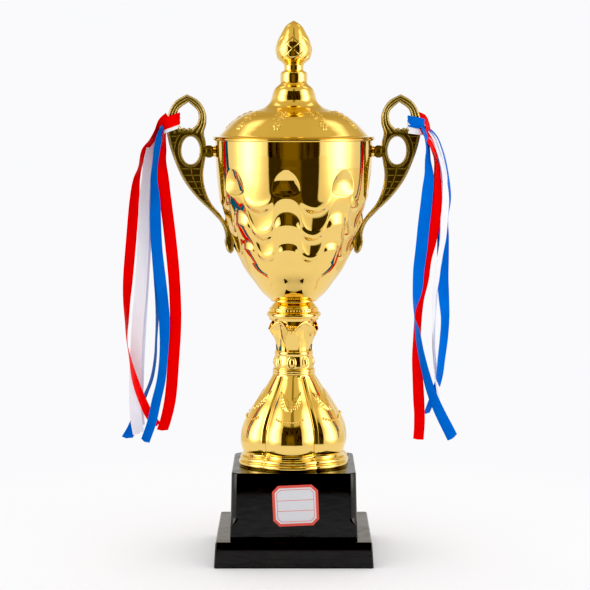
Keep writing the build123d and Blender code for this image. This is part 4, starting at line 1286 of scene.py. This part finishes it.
RIGHT_TAILS = {
    "red": [([(107, 362, 60, -3), (110, 357, 58, -3), (115, 348, 58, -3), (118, 341, 70, -3),
          (120, 335, 80, -2), (121, 326, 66, -2), (121, 318, 58, -2), (121, 301, 41, -2),
          (119, 284, 30, -2), (116, 267, 26, -2), (112, 250, 33, -2), (110, 233, 38, -2),
          (107, 216, 50, 0), (105, 199, 52, 3), (104, 182, 52, 4), (104, 165, 41, 4), (105, 148, 33, 4),
          (106, 131, 24, 3), (107, 113, 24, 2), (106, 96, 24, 2)], 1.0, 0.5),
        ([(104, 371, 50, 2), (109, 369, 55, 2), (112, 364, 65, 3), (113, 357, 62, 4), (116, 347, 64, 5),
          (119, 335, 74, 6), (120, 318, 60, 8), (119, 290, 40, 8), (114, 262, 34, 8), (110, 233, 40, 8),
          (107, 210, 52, 9), (105, 180, 50, 9), (106, 150, 36, 8), (107, 125, 26, 7),
          (107, 104, 24, 7)], -1.5, 0.4)],
    "white": [([(108, 361, 60, 1), (112, 357, 60, 2), (117, 352, 64, 4), (121, 343, 70, 5),
          (125, 330, 68, 5), (127, 318, 67, 5), (128, 301, 52, 4), (127, 284, 50, 4), (126, 267, 57, 4),
          (123, 250, 62, 4), (121, 233, 62, 4), (119, 216, 70, 5), (119, 199, 75, 6), (118, 182, 80, 7),
          (119, 165, 83, 8), (121, 148, 77, 7), (124, 131, 74, 6), (130, 113, 68, 4),
          (136, 99, 60, 3)], 1.5, 0.4),
        ([(108, 361, 60, 6), (112, 356, 62, 7), (118, 348, 66, 9), (123, 333, 68, 11), (126, 315, 64, 12),
          (127, 290, 54, 13), (126, 265, 58, 13), (122, 235, 64, 13), (120, 205, 74, 13),
          (120, 170, 78, 13), (123, 145, 72, 12), (128, 122, 66, 10), (134, 103, 60, 9)], -1.5, 0.4)],
    "blue": [([(107, 362, 72, -6), (110, 355, 70, -7), (112, 344, 68, -8), (112, 334, 58, -8),
          (113, 322, 38, -8), (112, 309, 18, -8), (111, 298, 10, -8), (109, 280, 2, -8),
          (107, 259, 4, -8), (105, 242, 16, -8), (104, 225, 32, -8), (102, 210, 72, -8),
          (102, 201, 90, -7), (104, 191, 110, -6), (107, 173, 120, -7), (111, 156, 128, -7),
          (116, 139, 138, -6), (123, 122, 150, -4), (131, 106, 160, -3), (135, 98, 162, -3)], 2.0, 0.5),
        ([(108, 362, 70, 9), (115, 359, 78, 10), (121, 353, 82, 12), (125, 344, 82, 13),
          (128, 334, 80, 14), (131, 318, 78, 15), (131, 301, 58, 16), (127, 284, 30, 17),
          (127, 267, 6, 17), (127, 250, 0, 17), (127, 233, 10, 17), (128, 216, 24, 16),
          (129, 199, 40, 14), (128, 182, 42, 13), (126, 165, 46, 12), (124, 148, 52, 11),
          (119, 132, 52, 10), (113, 117, 58, 9)], -2.0, 0.5)],
}
LEFT_BANDS = {"red": (102.4, (7.0, 4.4), 366.3, 0.36, 10.0), "white": (102.4, (6.5, 3.9), 363.0, 0.36, 9.6),
              "blue": (102.4, (6.0, 3.4), 364.5, 0.35, 8.0)}
RIGHT_BANDS = {"blue": (102.4, (7.0, 4.4), 365.2, 0.20, 9.4), "white": (102.0, (6.9, 3.9), 360.2, 0.12, 9.6),
               "red": (102.6, (6.1, 3.4), 365.5, 0.2, 8.0)}


def build_ribbons():
    """Three colours of satin tape on each handle."""
    fabrics = {"red": satin("satin_red", (0.72, 0.001, 0.001), (1.0, 0.004, 0.004), 260.0),
               "white": satin("satin_white", (0.97, 0.95, 0.99), (1.0, 0.985, 1.0), 260.0),
               "blue": satin("satin_blue", (0.0, 0.122, 0.575), (0.003, 0.175, 0.765), 260.0)}
    sides = ((-1, "left", LEFT_TAILS, LEFT_BANDS), (1, "right", RIGHT_TAILS, RIGHT_BANDS))
    for colour, fabric in fabrics.items():
        for side, word, tails, bands in sides:
            ribbon(side, colour, tails[colour], bands[colour], fabric, "ribbon_%s_%s" % (word, colour))


# ---- CAD nodes that keep their own mesh ---------------------------------------------------
def finish_cad_nodes():
    """Procedural finishes for the fasteners, the foam and the ballast."""
    foam = foam_sheet()
    cement = cast_cement()
    finishes = {"base_pad": foam, "ballast_block": cement, "handle_spacers": gold_plated}
    for node in ("handle_screws", "handle_screw_washers", "tie_rod", "base_washer", "base_nut", "cup_washer",
                 "cup_nut", "finial_stud", "lid_washer", "lid_nut"):
        finishes[node] = steel
    for node, finish in finishes.items():
        carried = bpy.data.objects[node]
        carried.data.materials.clear()
        carried.data.materials.append(finish)


# ---- Surroundings -------------------------------------------------------------------------
FLOOR_HALF = 3.0
CAMERA_PLACE = (0.001, -1.729, 0.385)
CAMERA_PITCH = 5.4506
CAMERA_LENS = 125.45
ROOM_SIDE = 38.0
BOX_SIDE = 70.0
BOX_SPREAD = 16.0
BOX_COLOUR = (4.4, 4.3, 3.9)
FILL_LIGHT = 1.06
BACKDROP = (0.955, 0.955, 0.97, 1)
BLACK_LEVEL = 0.018


class WorldShader(Shader):
    """Node tree of the world instead of a material."""

    def __init__(self, name):
        self.world = bpy.data.worlds.new(name)
        self.world.use_nodes = True
        self.tree = self.world.node_tree


def studio_reflections(shader):
    """What the gold mirrors: a dark room in front, a bright soft box on each side, warm walls."""
    direction = shader.node("ShaderNodeTexCoord").outputs["Generated"]
    split = shader.node("ShaderNodeSeparateXYZ")
    shader.link(direction, split.inputs["Vector"])
    x, y, z = split.outputs
    azimuth = shader.azimuth(x, y)
    elevation = shader.number("MULTIPLY", shader.number("ARCSINE", z), DEGREES_PER_RADIAN)
    side = shader.number("ABSOLUTE", azimuth)
    behind = shader.ramp(side, 125.0, 160.0, 0.0, 1.0)
    wall = shader.mix(behind, (0.78, 0.68, 0.42), (0.56, 0.44, 0.19))
    wall = shader.mix(shader.ramp(elevation, 8.0, 24.0, 0.0, 1.0), (0.92, 0.92, 0.93), wall)
    colour = shader.mix(shader.ramp(elevation, 45.0, 78.0, 0.0, 1.0), wall, (0.68, 0.58, 0.32))
    lamps = shader.number("MULTIPLY", shader.window(side, 124.0, 136.0, 9.0),
                          shader.window(elevation, 46.0, 54.0, 7.0))
    colour = shader.mix(lamps, colour, (1.7, 1.6, 1.3))
    boxes = shader.number("MULTIPLY", shader.bell(side, BOX_SIDE, BOX_SPREAD),
                          shader.window(elevation, -90.0, 36.0, 16.0))
    colour = shader.mix(boxes, colour, BOX_COLOUR)
    room = shader.number("MULTIPLY", shader.window(side, -1.0, ROOM_SIDE - 1.0, 2.0),
                         shader.window(elevation, -90.0, 39.0, 5.0))
    upper = shader.number("MULTIPLY", shader.window(azimuth, -5.0, 8.0, 4.0),
                          shader.window(elevation, 30.0, 66.0, 8.0))
    colour = shader.mix(shader.number("MULTIPLY", upper, 0.75), colour, (0.12, 0.10, 0.06))
    clutter = shader.node("ShaderNodeTexNoise")
    clutter.inputs["Scale"].default_value = 7.0
    upright = shader.node("ShaderNodeMapping")
    upright.inputs["Scale"].default_value = (2.5, 2.5, 0.5)
    shader.link(direction, upright.inputs["Vector"])
    shader.link(upright.outputs["Vector"], clutter.inputs["Vector"])
    dim = shader.mix(shader.ramp(clutter.outputs["Fac"], 0.3, 0.7, 0.0, 1.0),
                     (0.01, 0.01, 0.01), (0.10, 0.085, 0.06))
    doorway = shader.number("MULTIPLY", shader.window(azimuth, -13.0, 4.0, 8.0),
                            shader.window(elevation, -90.0, 10.0, 12.0))
    dim = shader.mix(doorway, dim, (0.21, 0.15, 0.09))
    return shader.mix(room, colour, dim)


def build_world():
    """Backdrop to the camera, a studio to mirrors and even light to the rest."""
    shader = WorldShader("studio")
    reflections = shader.tree.nodes["Background"]
    shader.link(studio_reflections(shader), reflections.inputs["Color"])
    fill = shader.node("ShaderNodeBackground")
    fill.inputs["Color"].default_value = (FILL_LIGHT, FILL_LIGHT, FILL_LIGHT, 1)
    plain = shader.node("ShaderNodeBackground")
    plain.inputs["Color"].default_value = BACKDROP
    rays = shader.node("ShaderNodeLightPath")
    shiny = shader.blend_shaders(rays.outputs["Is Glossy Ray"], fill.outputs["Background"],
                                 reflections.outputs["Background"])
    seen = shader.blend_shaders(rays.outputs["Is Camera Ray"], shiny, plain.outputs["Background"])
    shader.link(seen, shader.tree.nodes["World Output"].inputs["Surface"])
    bpy.context.scene.world = shader.world


def floor_paper():
    """Pale paper that melts into the backdrop; mirrored in the gold it ends at the dark room."""
    shader = Shader("floor_paper", Roughness=0.8, Base_Color=(0.97, 0.968, 0.98, 1))
    shader.surface.inputs["Specular IOR Level"].default_value = 0.1
    spot = shader.node("ShaderNodeNewGeometry").outputs["Position"]
    reach = shader.node("ShaderNodeVectorMath", operation="LENGTH")
    shader.link(spot, reach.inputs[0])
    split = shader.node("ShaderNodeSeparateXYZ")
    shader.link(spot, split.inputs["Vector"])
    backdrop = shader.node("ShaderNodeEmission")
    backdrop.inputs["Color"].default_value = BACKDROP
    distant = shader.blend_shaders(shader.ramp(reach.outputs["Value"], 0.12, 0.5, 0.0, 1.0),
                                   shader.surface.outputs["BSDF"], backdrop.outputs["Emission"])
    azimuth = shader.azimuth(split.outputs["X"], split.outputs["Y"])
    side = shader.number("ABSOLUTE", azimuth)
    far = shader.mix(shader.ramp(reach.outputs["Value"], 0.6, 2.4, 0.0, 1.0), (1.3, 1.2, 1.0), BOX_COLOUR)
    glow = shader.mix(shader.bell(side, BOX_SIDE, BOX_SPREAD), (0.86, 0.82, 0.72), far)
    dim = shader.mix(shader.window(azimuth, -15.0, 8.0, 4.0), (0.055, 0.05, 0.045), (0.16, 0.12, 0.07))
    glow = shader.mix(shader.ramp(side, ROOM_SIDE - 2.0, ROOM_SIDE, 1.0, 0.0), glow, dim)
    mirrored = shader.node("ShaderNodeEmission")
    shader.link(glow, mirrored.inputs["Color"])
    glossy = shader.node("ShaderNodeLightPath").outputs["Is Glossy Ray"]
    far_glossy = shader.number("MULTIPLY", glossy, shader.ramp(reach.outputs["Value"], 0.48, 0.56, 0.0, 1.0))
    final = shader.blend_shaders(far_glossy, distant, mirrored.outputs["Emission"])
    shader.link(final, shader.tree.nodes["Material Output"].inputs["Surface"])
    return shader.material


def build_stage():
    """The sheet of paper that the trophy stands on."""
    mesh = bpy.data.meshes.new("floor_sheet")
    corners = [(x * FLOOR_HALF, y * FLOOR_HALF, 0) for x, y in ((-1, -1), (1, -1), (1, 1), (-1, 1))]
    mesh.from_pydata(corners, [], [(0, 1, 2, 3)])
    mesh.materials.append(floor_paper())
    floor = bpy.data.objects.new("floor_sheet", mesh)
    bpy.context.scene.collection.objects.link(floor)


def build_camera():
    """Long lens from in front, a little above the middle of the trophy and looking slightly down."""
    data = bpy.data.cameras.new("photo_camera")
    data.lens = CAMERA_LENS
    data.sensor_width = 36.0
    data.clip_end = 20.0
    camera = bpy.data.objects.new("photo_camera", data)
    camera.location = CAMERA_PLACE
    camera.rotation_euler = (math.radians(90 - CAMERA_PITCH), 0, 0)
    bpy.context.scene.collection.objects.link(camera)
    bpy.context.scene.camera = camera
    look = bpy.context.scene.view_settings
    look.view_transform = "Standard"
    look.use_curve_mapping = True
    look.curve_mapping.black_level = (BLACK_LEVEL, BLACK_LEVEL, BLACK_LEVEL)
    look.curve_mapping.update()


build_plinth()
build_label()
build_stem()
build_collar()
build_cup()
build_lid()
build_finial()
build_handles()
build_ribbons()
finish_cad_nodes()
build_world()
build_stage()
build_camera()
